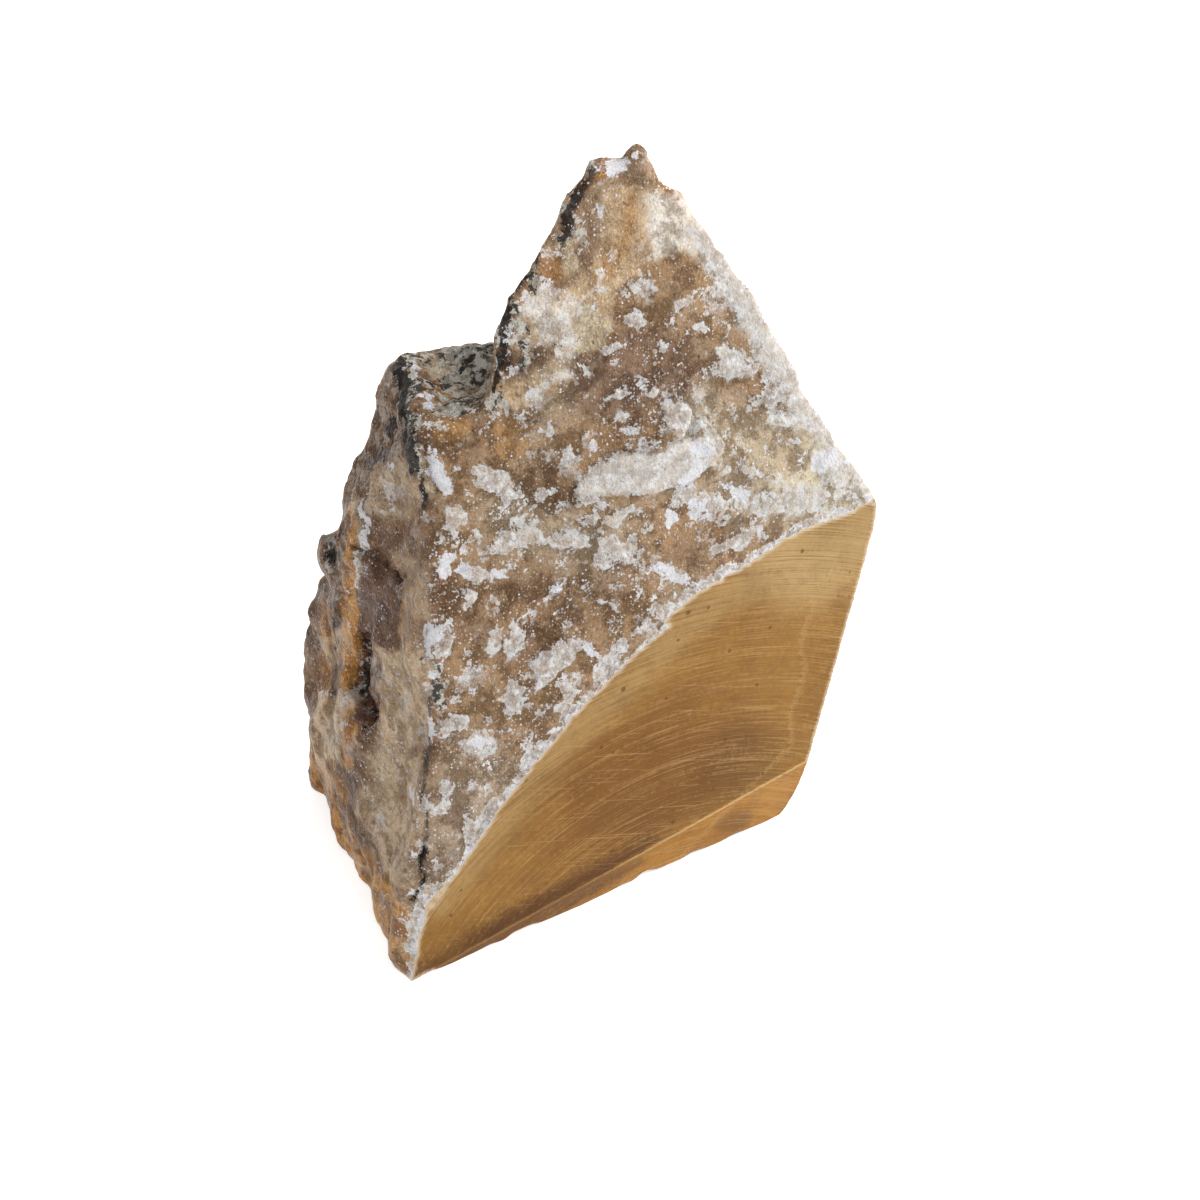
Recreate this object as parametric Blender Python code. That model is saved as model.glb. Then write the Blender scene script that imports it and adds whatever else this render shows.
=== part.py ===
"""Raw alabaster block with a sawn face.

One stone, in one piece: a tall wedge of honey-coloured alabaster that stands on a sawn base. Its front has a rough,
freshly broken face above and a flat sawn face below, its left side is ridged, a weathered crust covers the shelf
and the back, and a thin fin rises behind the shelf to the peak.

The block is modelled in millimetres and turned into metres at the end. While it is modelled, the base lies in the
plane z = 0 and the front corner of the foot points to -Y. The finished block has its origin at the bottom centre
of its own box.
"""

import math

import bmesh
import bpy
from mathutils import Matrix, Vector, noise

MILLIMETRE = 0.001

# Sawn planes. The long cut runs from the foot corner to the right and leans back a little. The short cut under it
# slants back in towards the base.
FOOT_CORNER = Vector((-45.7, -47.6, 0.0))
CUT_TURN = math.radians(31.7)
CUT_LEAN = math.radians(3.9)
UNDERCUT_TURN = math.radians(33.5)
UNDERCUT_LEAN = math.radians(-8.0)
BASE_DEPTH = 6.0

# Corners of the broken block below the shelf. Those at -BASE_DEPTH and those in front of the long cut are sawn off.
FOOT = [
    (-45.5, -50.5, -BASE_DEPTH),
    (9.9, -26.0, -BASE_DEPTH),
    (37.4, -12.0, -BASE_DEPTH),
    (49.3, 0.8, -BASE_DEPTH),
    (43.0, 11.0, -BASE_DEPTH),
    (32.0, 48.0, -BASE_DEPTH),
    (14.0, 65.0, -BASE_DEPTH),
    (-48.0, 56.0, -BASE_DEPTH),
    (-80.0, 32.0, -BASE_DEPTH),
    (-64.0, 3.0, -BASE_DEPTH),
    (-49.5, -26.0, -BASE_DEPTH),
    (-57.0, -10.0, -BASE_DEPTH),
]
RIDGE = [
    (-45.5, -44.0, 10.0),
    (-43.0, -40.5, 24.0),
    (-40.5, -36.5, 48.0),
    (-38.5, -30.5, 72.0),
    (-37.0, -24.0, 95.4),
    (-35.8, -17.0, 117.0),
    (-40.0, -11.0, 133.0),
]
LEFT_RIDGE = [
    (-60.0, -11.0, 9.0),
    (-65.5, -5.0, 25.0),
    (-65.7, -1.0, 44.3),
    (-63.5, 1.0, 61.3),
    (-60.5, 4.0, 80.1),
    (-57.5, 7.0, 98.3),
    (-54.0, 9.0, 114.0),
]
LEFT_EDGE = [
    (-79.5, 28.0, 14.8),
    (-74.5, 28.0, 38.1),
    (-68.0, 27.0, 50.0),
    (-64.0, 26.0, 75.0),
    (-62.0, 25.0, 98.3),
    (-53.5, 24.0, 119.0),
    (-47.0, 22.0, 134.0),
]
SHELF = [
    (-44.5, 12.0, 137.0),
    (-35.2, 26.0, 137.5),
    (-25.9, 28.0, 136.0),
    (-22.7, -7.0, 135.0),
]
SAWN_EDGE = [
    (-28.8, -34.6, 31.7),
    (-16.8, -26.2, 44.8),
    (-6.0, -18.3, 59.3),
    (6.0, -10.3, 67.9),
    (24.1, 1.8, 78.7),
    (46.4, 16.2, 87.4),
]
RIGHT_EDGE = [
    (70.5, 31.0, 88.0),
    (64.5, 25.5, 61.8),
    (53.5, 16.0, 18.0),
    (52.0, 16.5, 8.0),
]
BACK = [
    (-58.0, 46.0, 62.0),
    (-10.0, 62.0, 62.0),
    (-12.0, 44.0, 120.0),
    (48.0, 56.0, 80.0),
]
BLOCK = FOOT + RIDGE + LEFT_RIDGE + LEFT_EDGE + SHELF + SAWN_EDGE + RIGHT_EDGE + BACK

# Corners of the fin that rises behind the shelf, with its root inside the block.
FIN = [
    (-24.0, -7.0, 130.0),
    (-25.0, -2.0, 152.1),
    (-22.3, 1.0, 159.9),
    (-14.0, 6.0, 171.9),
    (-6.0, 12.0, 183.4),
    (-2.0, 14.0, 186.5),
    (5.0, 16.5, 186.5),
    (10.2, 18.5, 181.0),
    (19.5, 21.5, 177.0),
    (31.6, 24.5, 147.4),
    (44.8, 26.5, 123.7),
    (57.0, 28.5, 106.5),
    (70.5, 31.0, 88.0),
    (24.6, 11.0, 118.1),
    (5.9, -10.0, 75.0),
    (33.9, 8.2, 83.1),
    (-20.0, 30.0, 125.0),
    (-8.0, 32.0, 155.0),
    (6.0, 34.0, 164.0),
    (30.0, 46.0, 120.0),
    (48.0, 50.0, 92.0),
    (0.0, 50.0, 100.0),
]

# Small knobs that stand out of the block: centre and radii.
KNOBS = [
    ((8.6, 18.5, 185.2), (3.2, 4.0, 4.8)),
    ((11.0, 18.5, 181.5), (3.4, 4.0, 4.0)),
    ((-1.0, 15.0, 184.0), (4.4, 5.5, 3.8)),
    ((-7.0, 11.0, 175.5), (3.6, 6.0, 5.5)),
    ((-64.5, 21.0, 79.5), (7.0, 9.0, 6.5)),
    ((-51.5, 23.0, 114.5), (5.0, 7.0, 6.5)),
    ((-43.0, 14.0, 133.5), (5.0, 8.0, 5.0)),
    ((-41.0, 2.0, 132.5), (4.5, 6.0, 5.0)),
    ((-29.0, 22.0, 134.5), (8.0, 7.0, 4.5)),
]

# Scoops broken out of the ridged left side: centre, radii and depth.
SCOOPS = [
    ((-57.5, -4.0, 62.0), (9.0, 10.0, 26.0), 4.5),
    ((-46.0, -7.0, 112.0), (11.0, 9.0, 15.0), 3.0),
    ((-70.0, 18.0, 50.0), (10.0, 11.0, 20.0), 3.0),
    ((-52.0, -24.0, 34.0), (10.0, 9.0, 22.0), 2.5),
]

# Relief of the broken surface: wavelength and height of each layer.
WAVE_LENGTH = 46.0
WAVE_HEIGHT = 2.0
FLAKE_LENGTH = 17.0
FLAKE_HEIGHT = 1.5
FLAKE_STEPS = 3.0
RIDGE_WIDTH = 13.0
RIDGE_LENGTH = 46.0
RIDGE_TOP = 132.0
RIDGE_HEIGHT = 4.5
CRUST_LENGTH = 10.0
CRUST_HEIGHT = 2.4

# The relief fades out this far from the long cut, so that the cut's rim stays an even curve.
RIM_WIDTH = 7.0
RIM_RELIEF = 0.0

# The ledge that crosses the broken face under the fin, from the notch down to the right edge.
LEDGE_LEFT = Vector((-22.7, -7.0, 134.0))
LEDGE_RIGHT = Vector((68.8, 31.0, 96.0))
LEDGE_DEPTH = 1.7
LEDGE_WIDTH = 5.0

# Fineness of the mesh while it is shaped, and the number of triangles that it ends with.
VOXEL = 1.9
TRIANGLES = 9600
SEED = 11

STONE_COLOUR = (0.52, 0.37, 0.22, 1.0)
STONE_ROUGHNESS = 0.45


def smooth_step(low, high, value):
    """Rises from 0 at low to 1 at high, with level ends."""
    share = min(max((value - low) / (high - low), 0.0), 1.0)
    return share * share * (3.0 - 2.0 * share)


def plane_normal(turn, lean):
    """Returns the unit normal of a plane that faces -Y, turned towards +X and leaning back."""
    across = math.cos(lean)
    return Vector((math.sin(turn) * across, -math.cos(turn) * across, math.sin(lean)))


def add_hull(mesh, corners):
    """Adds the convex solid around the corners to the mesh."""
    made = [mesh.verts.new(corner) for corner in corners]
    hull = bmesh.ops.convex_hull(mesh, input=made)
    inside = [part for part in hull["geom_interior"] if isinstance(part, bmesh.types.BMVert)]
    bmesh.ops.delete(mesh, geom=inside, context="VERTS")


def add_knob(mesh, centre, radii):
    """Adds an egg-shaped knob to the mesh."""
    place = Matrix.Translation(centre) @ Matrix.Diagonal((*radii, 1.0))
    bmesh.ops.create_icosphere(mesh, subdivisions=2, radius=1.0, matrix=place)


def evaluated_mesh(source, kind, settings):
    """Returns a new mesh: the source with one modifier of a kind and its settings applied."""
    carrier = bpy.data.objects.new("carrier", source)
    bpy.context.scene.collection.objects.link(carrier)
    modifier = carrier.modifiers.new("step", kind)
    for name, value in settings.items():
        setattr(modifier, name, value)
    shaped = carrier.evaluated_get(bpy.context.evaluated_depsgraph_get())
    result = bpy.data.meshes.new_from_object(shaped)
    bpy.data.objects.remove(carrier)
    return result


def rough_block():
    """Returns the mesh of the block before it is sawn: block, fin and knobs joined in one skin."""
    mesh = bmesh.new()
    add_hull(mesh, BLOCK)
    add_hull(mesh, FIN)
    for centre, radii in KNOBS:
        add_knob(mesh, centre, radii)
    bmesh.ops.recalc_face_normals(mesh, faces=mesh.faces)
    joined = bpy.data.meshes.new("rough_block")
    mesh.to_mesh(joined)
    mesh.free()
    return evaluated_mesh(joined, "REMESH", {"mode": "VOXEL", "voxel_size": VOXEL, "adaptivity": 0.0})


def flakes(point):
    """Returns the height of the stepped flakes at a point, from -1 to 1."""
    bent = point + 5.0 * noise.noise_vector(point / 11.0)
    level = FLAKE_STEPS * noise.noise(bent / FLAKE_LENGTH)
    tread = math.floor(level)
    return (tread + smooth_step(0.55, 1.0, level - tread)) / FLAKE_STEPS


def crust(point):
    """Returns the height of the weathered crust at a point, from about -1 to 1: patches of nodules on a pitted skin."""
    bent = point + 4.0 * noise.noise_vector(point / 13.0)
    distances, _ = noise.voronoi(bent / CRUST_LENGTH)
    patch = smooth_step(-0.25, 0.35, noise.noise(point / 27.0))
    pitted = 1.4 * noise.noise(point / 12.0) + 0.6 * noise.noise(point / 6.0)
    return patch * (1.0 - 1.8 * distances[0]) + (1.0 - 0.6 * patch) * pitted


def scoop(point):
    """Returns how deep the scoops of the left side are at a point."""
    depth = 0.0
    for centre, radii, full in SCOOPS:
        away = Vector((offset / radius for offset, radius in zip(point - Vector(centre), radii))).length
        depth += full * smooth_step(1.0, 0.2, away)
    return depth


def ledge(point):
    """Returns how far the face above the ledge steps back at a point, from 0 to 1."""
    run = LEDGE_RIGHT - LEDGE_LEFT
    share = (point.x - LEDGE_LEFT.x) / run.x
    line = LEDGE_LEFT.z + share * run.z
    wander = 9.0 * noise.noise(Vector((point.x / 17.0, 3.7, 0.5)))
    strength = smooth_step(-0.15, 0.1, share) * (0.65 + 0.7 * noise.noise(Vector((point.x / 21.0, 9.1, 4.4))))
    return strength * smooth_step(0.0, LEDGE_WIDTH, point.z - line - wander)


def relief(point, normal):
    """Returns how far the skin moves out along its normal at a point."""
    fresh = smooth_step(0.25, 0.75, normal.dot(plane_normal(CUT_TURN, 0.2)))
    below_shelf = smooth_step(RIDGE_TOP + 8.0, RIDGE_TOP, point.z)
    left = smooth_step(0.3, 0.8, -normal.x) * (1.0 - fresh) * below_shelf
    weathered = max(smooth_step(0.35, 0.8, normal.y), smooth_step(0.5, 0.9, normal.z))
    weathered *= smooth_step(25.0, -15.0, point.x)
    height = FLAKE_HEIGHT * flakes(point) * (1.0 - 0.7 * weathered)
    columns = Vector((point.x / RIDGE_WIDTH, point.y / RIDGE_WIDTH, point.z / RIDGE_LENGTH))
    height += left * RIDGE_HEIGHT * noise.noise(columns)
    height += weathered * CRUST_HEIGHT * crust(point)
    height -= scoop(point)
    height -= fresh * LEDGE_DEPTH * ledge(point)
    return height


def rim_share(point):
    """Returns the share of the relief that a point keeps, which falls towards the long cut."""
    behind = (FOOT_CORNER - point).dot(plane_normal(CUT_TURN, CUT_LEAN))
    return RIM_RELIEF + (1.0 - RIM_RELIEF) * smooth_step(0.0, RIM_WIDTH, abs(behind))


def break_surface(skin):
    """Moves the points of the skin so that it looks broken and weathered."""
    mesh = bmesh.new()
    mesh.from_mesh(skin)
    mesh.normal_update()
    for vertex in mesh.verts:
        wave = WAVE_HEIGHT * noise.noise_vector(vertex.co / WAVE_LENGTH)
        step = vertex.normal * relief(vertex.co, vertex.normal)
        vertex.co += rim_share(vertex.co) * (wave + step)
    bmesh.ops.smooth_vert(mesh, verts=mesh.verts, factor=0.25, use_axis_x=True, use_axis_y=True, use_axis_z=True)
    bmesh.ops.triangulate(mesh, faces=mesh.faces)
    mesh.to_mesh(skin)
    mesh.free()
    share = TRIANGLES / len(skin.polygons)
    return evaluated_mesh(skin, "DECIMATE", {"decimate_type": "COLLAPSE", "ratio": share})


def saw(mesh, point, normal):
    """Cuts off what lies in front of a plane and closes the cut with a flat face."""
    geometry = mesh.verts[:] + mesh.edges[:] + mesh.faces[:]
    cut = bmesh.ops.bisect_plane(
        mesh, geom=geometry, dist=0.0001, plane_co=point, plane_no=normal, clear_outer=True, clear_inner=False
    )
    rim = [part for part in cut["geom_cut"] if isinstance(part, bmesh.types.BMEdge)]
    bmesh.ops.edgenet_fill(mesh, edges=rim)


def alabaster_material():
    """Returns the plain material of the stone."""
    material = bpy.data.materials.new("alabaster")
    material.use_nodes = True
    shader = material.node_tree.nodes["Principled BSDF"]
    shader.inputs["Base Color"].default_value = STONE_COLOUR
    shader.inputs["Roughness"].default_value = STONE_ROUGHNESS
    shader.inputs["Metallic"].default_value = 0.0
    return material


def sawn_block():
    """Returns the mesh of the stone in millimetres: sawn along the long cut, the undercut and the base."""
    mesh = bmesh.new()
    mesh.from_mesh(break_surface(rough_block()))
    saw(mesh, FOOT_CORNER, plane_normal(CUT_TURN, CUT_LEAN))
    saw(mesh, FOOT_CORNER, plane_normal(UNDERCUT_TURN, UNDERCUT_LEAN))
    saw(mesh, Vector((0.0, 0.0, 0.0)), Vector((0.0, 0.0, -1.0)))
    bmesh.ops.triangulate(mesh, faces=mesh.faces)
    bmesh.ops.recalc_face_normals(mesh, faces=mesh.faces)
    return mesh


def base_centre(mesh):
    """Returns the bottom centre of the box around a mesh that stands on z = 0."""
    across = [vertex.co.x for vertex in mesh.verts]
    along = [vertex.co.y for vertex in mesh.verts]
    return Vector(((min(across) + max(across)) / 2, (min(along) + max(along)) / 2, 0.0))


def alabaster_block():
    """Builds the stone, in metres, with its origin at the bottom centre of its box."""
    mesh = sawn_block()
    bmesh.ops.translate(mesh, verts=mesh.verts, vec=-base_centre(mesh))
    bmesh.ops.scale(mesh, verts=mesh.verts, vec=(MILLIMETRE, MILLIMETRE, MILLIMETRE))
    stone = bpy.data.meshes.new("alabaster_block")
    mesh.to_mesh(stone)
    mesh.free()
    stone.materials.append(alabaster_material())
    block = bpy.data.objects.new("alabaster_block", stone)
    bpy.context.scene.collection.objects.link(block)
    return block


def main():
    """Clears the scene and builds the stone."""
    for old in list(bpy.data.objects):
        bpy.data.objects.remove(old)
    noise.seed_set(SEED)
    alabaster_block()


main()
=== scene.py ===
"""Looks of a raw alabaster block with a sawn face, on a pale studio floor.

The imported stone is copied, its skin is made finer, and the relief that the stone shows is worked into it:
terraces, plates, crust, ridges, hollows and chips. The sawn faces are cut again, flat, along the planes of
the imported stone. What is only colour is kept in values on the mesh, and the finishes turn these into stone.

Lengths are in millimetres until a piece is finished. The millimetres stand in the frame of the photograph, in
which the base lies at z = 0 and the camera stands straight in front of the stone. Places on the front of the
stone are given as pixels of the 1200 x 1200 photograph, and land on the stone by way of that camera.
"""

from __future__ import annotations

import logging
import math
from dataclasses import dataclass, field
from enum import Enum
from typing import Iterable, Sequence

import bmesh
import bpy
import numpy as np
from mathutils import Matrix, Vector, bvhtree, kdtree, noise


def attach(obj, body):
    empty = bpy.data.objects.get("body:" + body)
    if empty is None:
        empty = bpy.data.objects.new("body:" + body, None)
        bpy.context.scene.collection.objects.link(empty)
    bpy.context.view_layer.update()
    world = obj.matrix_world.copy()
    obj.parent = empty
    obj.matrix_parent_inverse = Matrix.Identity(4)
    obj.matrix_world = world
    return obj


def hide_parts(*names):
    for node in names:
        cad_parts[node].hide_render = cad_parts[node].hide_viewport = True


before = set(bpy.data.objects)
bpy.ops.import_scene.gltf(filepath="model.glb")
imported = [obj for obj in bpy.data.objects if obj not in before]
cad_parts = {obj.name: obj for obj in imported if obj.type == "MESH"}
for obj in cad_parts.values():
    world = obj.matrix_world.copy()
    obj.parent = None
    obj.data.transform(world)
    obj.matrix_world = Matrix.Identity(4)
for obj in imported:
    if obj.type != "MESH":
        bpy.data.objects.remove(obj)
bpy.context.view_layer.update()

LOG = logging.getLogger("alabaster")
METRE = 1000.0
MILLIMETRE = 0.001
SEED = 11

# Soft noise is multiplied by this, so that it runs from about -1 to 1.
NOISE_GAIN = 1.5

# The sockets of a Mix node that take its two colours and give their mix.
MIX_COLOURS = (6, 7)
MIX_RESULT = 2

# How much brighter than white paper the light makes the front of the stone. Its colours are divided by this.
LIGHT = 1.6

Colour = tuple[float, float, float]
Socket = bpy.types.NodeSocket


def screen_colour(red: float, green: float, blue: float) -> Colour:
    """Turns a colour as a screen shows it into the light that it stands for.

    Args:
        red: red, from 0 to 255.
        green: green, from 0 to 255.
        blue: blue, from 0 to 255.

    Returns:
        The three linear parts, from 0 to 1.
    """
    return tuple(
        share / 12.92 if share <= 0.04045 else ((share + 0.055) / 1.055) ** 2.4
        for share in (red / 255.0, green / 255.0, blue / 255.0)
    )


def stone_colour(red: float, green: float, blue: float) -> Colour:
    """Returns the colour of stone that the studio's light shows as this screen colour, from 0 to 255."""
    return tuple(part / LIGHT for part in screen_colour(red, green, blue))


def step_up(low: float, high: float, values: np.ndarray | float) -> np.ndarray:
    """Rises from 0 at low to 1 at high, with level ends.

    Args:
        low: value at which the rise starts.
        high: value at which it ends. It may be less than low, and then the step falls.
        values: values to turn into shares.

    Returns:
        The shares, from 0 to 1.
    """
    share = np.clip((np.asarray(values) - low) / (high - low), 0.0, 1.0)
    return share * share * (3.0 - 2.0 * share)


def plane_normal(turn: float, lean: float) -> np.ndarray:
    """Returns the normal of a plane that faces -Y, turned towards +X and leaning back, both in degrees."""
    across = math.cos(math.radians(lean))
    turned = math.radians(turn)
    return np.array((math.sin(turned) * across, -math.cos(turned) * across, math.sin(math.radians(lean))))


class Tone(Enum):
    """The colours of the stone, as the screen shows them in full light."""

    HONEY_BROWN = stone_colour(174, 140, 103)
    DARK_BROWN = stone_colour(136, 103, 74)
    MAUVE_BROWN = stone_colour(136, 106, 84)
    PALE_HONEY = stone_colour(188, 166, 138)
    HONEY = stone_colour(184, 142, 92)
    ORANGE = stone_colour(202, 156, 102)
    OCHRE = stone_colour(172, 118, 56)
    PEACH = stone_colour(216, 188, 152)
    CREAM = stone_colour(224, 208, 178)
    GREY_BROWN = stone_colour(150, 118, 90)
    GREY_BEIGE = stone_colour(186, 164, 140)
    REDDISH_BROWN = stone_colour(120, 82, 56)
    MAUVE_GREY = stone_colour(122, 92, 74)
    SHADED_BEIGE = stone_colour(222, 196, 164)
    SHADED_OCHRE = stone_colour(222, 164, 92)
    WHITE_CREAM = stone_colour(248, 242, 232)
    UMBER = stone_colour(70, 46, 32)
    # Black of the dark streaks, also used as painted shade in narrow cracks.
    SOOT_AND_CRACK_SHADE = stone_colour(48, 42, 38)
    TAN = stone_colour(156, 111, 46)
    PALE_TAN = stone_colour(186, 154, 102)
    DEEP_TAN = stone_colour(128, 82, 22)
    BROWN_TAN = stone_colour(98, 58, 16)
    # Painted bounce light: the short cut's bright orange stands in for light thrown up from the floor onto the
    # honey stone.
    BOUNCE_LIT_ORANGE = stone_colour(176, 120, 34)


class Cut(Enum):
    """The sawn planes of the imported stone, by their outward normals."""

    LONG = tuple(plane_normal(31.7, 3.9))
    SHORT = tuple(plane_normal(33.5, -8.0))
    BASE = (0.0, 0.0, -1.0)


@dataclass(frozen=True)
class PhotoView:
    """The camera of the photograph. It looks along +Y and down, at a point above the middle of the foot.

    Lengths are in millimetres and the angle is in degrees.
    """

    elevation: float = 35.0
    distance: float = 540.0
    lens: float = 67.5
    sensor: float = 36.0
    image: float = 1200.0
    height: float = 80.0
    foot_corner: tuple[float, float, float] = (-45.7, -47.6, 0.0)

    def axes(self) -> tuple[np.ndarray, np.ndarray, np.ndarray]:
        """Returns the directions to the right of the picture, up it and into it."""
        down = math.radians(self.elevation)
        right = np.array((1.0, 0.0, 0.0))
        up = np.array((0.0, math.sin(down), math.cos(down)))
        into = np.array((0.0, math.cos(down), -math.sin(down)))
        return right, up, into

    def eye(self) -> np.ndarray:
        """Returns the place of the camera."""
        return np.array((0.0, 0.0, self.height)) - self.distance * self.axes()[2]

    def pixels(self, points: np.ndarray) -> tuple[np.ndarray, np.ndarray]:
        """Returns where points show in the photograph.

        Args:
            points: places, one row each.

        Returns:
            Pixels to the right of the picture's left edge, and pixels down from its top edge.
        """
        right, up, into = self.axes()
        away = points - self.eye()
        focal = self.lens / self.sensor * self.image
        depth = away @ into
        middle = self.image / 2.0
        return middle + focal * (away @ right) / depth, middle - focal * (away @ up) / depth

    def facing(self, points: np.ndarray, normals: np.ndarray) -> np.ndarray:
        """Returns how squarely the skin at each point faces the camera, from -1 to 1."""
        towards = self.eye() - points
        towards /= np.linalg.norm(towards, axis=1)[:, None]
        return np.sum(towards * normals, axis=1)


def from_segment(
    right: np.ndarray, down: np.ndarray, start: tuple[float, float], end: tuple[float, float]
) -> np.ndarray:
    """Returns how many pixels each place is from a straight line between two points."""
    run_right, run_down = end[0] - start[0], end[1] - start[1]
    share = (right - start[0]) * run_right + (down - start[1]) * run_down
    share = np.clip(share / (run_right**2 + run_down**2), 0.0, 1.0)
    return np.hypot(right - start[0] - share * run_right, down - start[1] - share * run_down)


def dissolved(
    inside: np.ndarray, across: np.ndarray, along: np.ndarray, half_width: float, half_height: float
) -> np.ndarray:
    """Returns the field of a patch that breaks up towards its lower right.

    Args:
        inside: the field of the whole patch.
        across: pixels of each place to the right of the patch's middle.
        along: pixels of each place below it.
        half_width: half the patch's width in pixels.
        half_height: half its height.
    """
    right_share, down_share = 0.5, 0.85
    reach = math.hypot(right_share * half_width, down_share * half_height)
    return np.minimum(inside, 5.0 - 8.0 * (right_share * across + down_share * along) / reach)


@dataclass(frozen=True)
class Blot:
    """An oval patch on the front of the stone, in pixels of the photograph.

    The turn is in degrees, against the clock. The lift is how far the patch stands out, in millimetres. One
    that dissolves is sharp at its upper left and breaks up towards its lower right.
    """

    right: float
    down: float
    half_width: float
    half_height: float
    turn: float = 0.0
    lift: float = 0.0
    dissolves: bool = False

    def inside(self, right: np.ndarray, down: np.ndarray) -> np.ndarray:
        """Returns how many pixels each place is inside the edge, which is less than 0 outside."""
        turned = math.radians(self.turn)
        across, along = right - self.right, down - self.down
        wide = (across * math.cos(turned) - along * math.sin(turned)) / self.half_width
        high = (across * math.sin(turned) + along * math.cos(turned)) / self.half_height
        inside = (1.0 - np.hypot(wide, high)) * min(self.half_width, self.half_height)
        if not self.dissolves:
            return inside
        return dissolved(inside, across, along, self.half_width, self.half_height)


@dataclass(frozen=True)
class Patch:
    """A patch with corners on the front, in pixels of the photograph, and the rest as for a Blot."""

    points: tuple[tuple[float, float], ...]
    lift: float = 0.0
    dissolves: bool = False

    def inside(self, right: np.ndarray, down: np.ndarray) -> np.ndarray:
        """Returns how many pixels each place is inside the edge, which is less than 0 outside."""
        nearest = np.full(right.shape, np.inf)
        within = np.zeros(right.shape, dtype=bool)
        for start, end in zip(self.points, self.points[1:] + self.points[:1]):
            nearest = np.minimum(nearest, from_segment(right, down, start, end))
            if start[1] != end[1]:
                crossing = start[0] + (end[0] - start[0]) * (down - start[1]) / (end[1] - start[1])
                within ^= ((start[1] > down) != (end[1] > down)) & (right < crossing)
        inside = np.where(within, nearest, -nearest)
        if not self.dissolves:
            return inside
        low, high = np.min(self.points, axis=0), np.max(self.points, axis=0)
        middle, half = (low + high) / 2.0, (high - low) / 2.0
        return dissolved(inside, right - middle[0], down - middle[1], *half)


@dataclass(frozen=True)
class Stroke:
    """A band along a line of points on the front of the stone, in pixels of the photograph."""

    points: tuple[tuple[float, float], ...]
    half_width: float
    lift: float = 0.0

    def inside(self, right: np.ndarray, down: np.ndarray) -> np.ndarray:
        """Returns how many pixels each place is inside the edge, which is less than 0 outside."""
        nearest = np.full(right.shape, np.inf)
        for start, end in zip(self.points, self.points[1:]):
            nearest = np.minimum(nearest, from_segment(right, down, start, end))
        return self.half_width - nearest


Mark = Blot | Patch | Stroke


@dataclass(frozen=True)
class Thread:
    """A thin line down the picture, through points in pixels of the photograph, from the top one down."""

    points: tuple[tuple[float, float], ...]

    def beside(self, right: np.ndarray, down: np.ndarray) -> np.ndarray:
        """Returns how many pixels each place is right of the line, and more above and below its ends."""
        rights, downs = zip(*self.points)
        beyond = np.maximum(downs[0] - down, 0.0) + np.maximum(down - downs[-1], 0.0)
        return right - np.interp(down, downs, rights) + beyond


@dataclass(frozen=True)
class Wash:
    """A soft wash of one tone over a mark. The softness is the width of its edge in pixels."""

    tone: Tone
    mark: Mark
    softness: float = 10.0
    strength: float = 0.9


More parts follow.
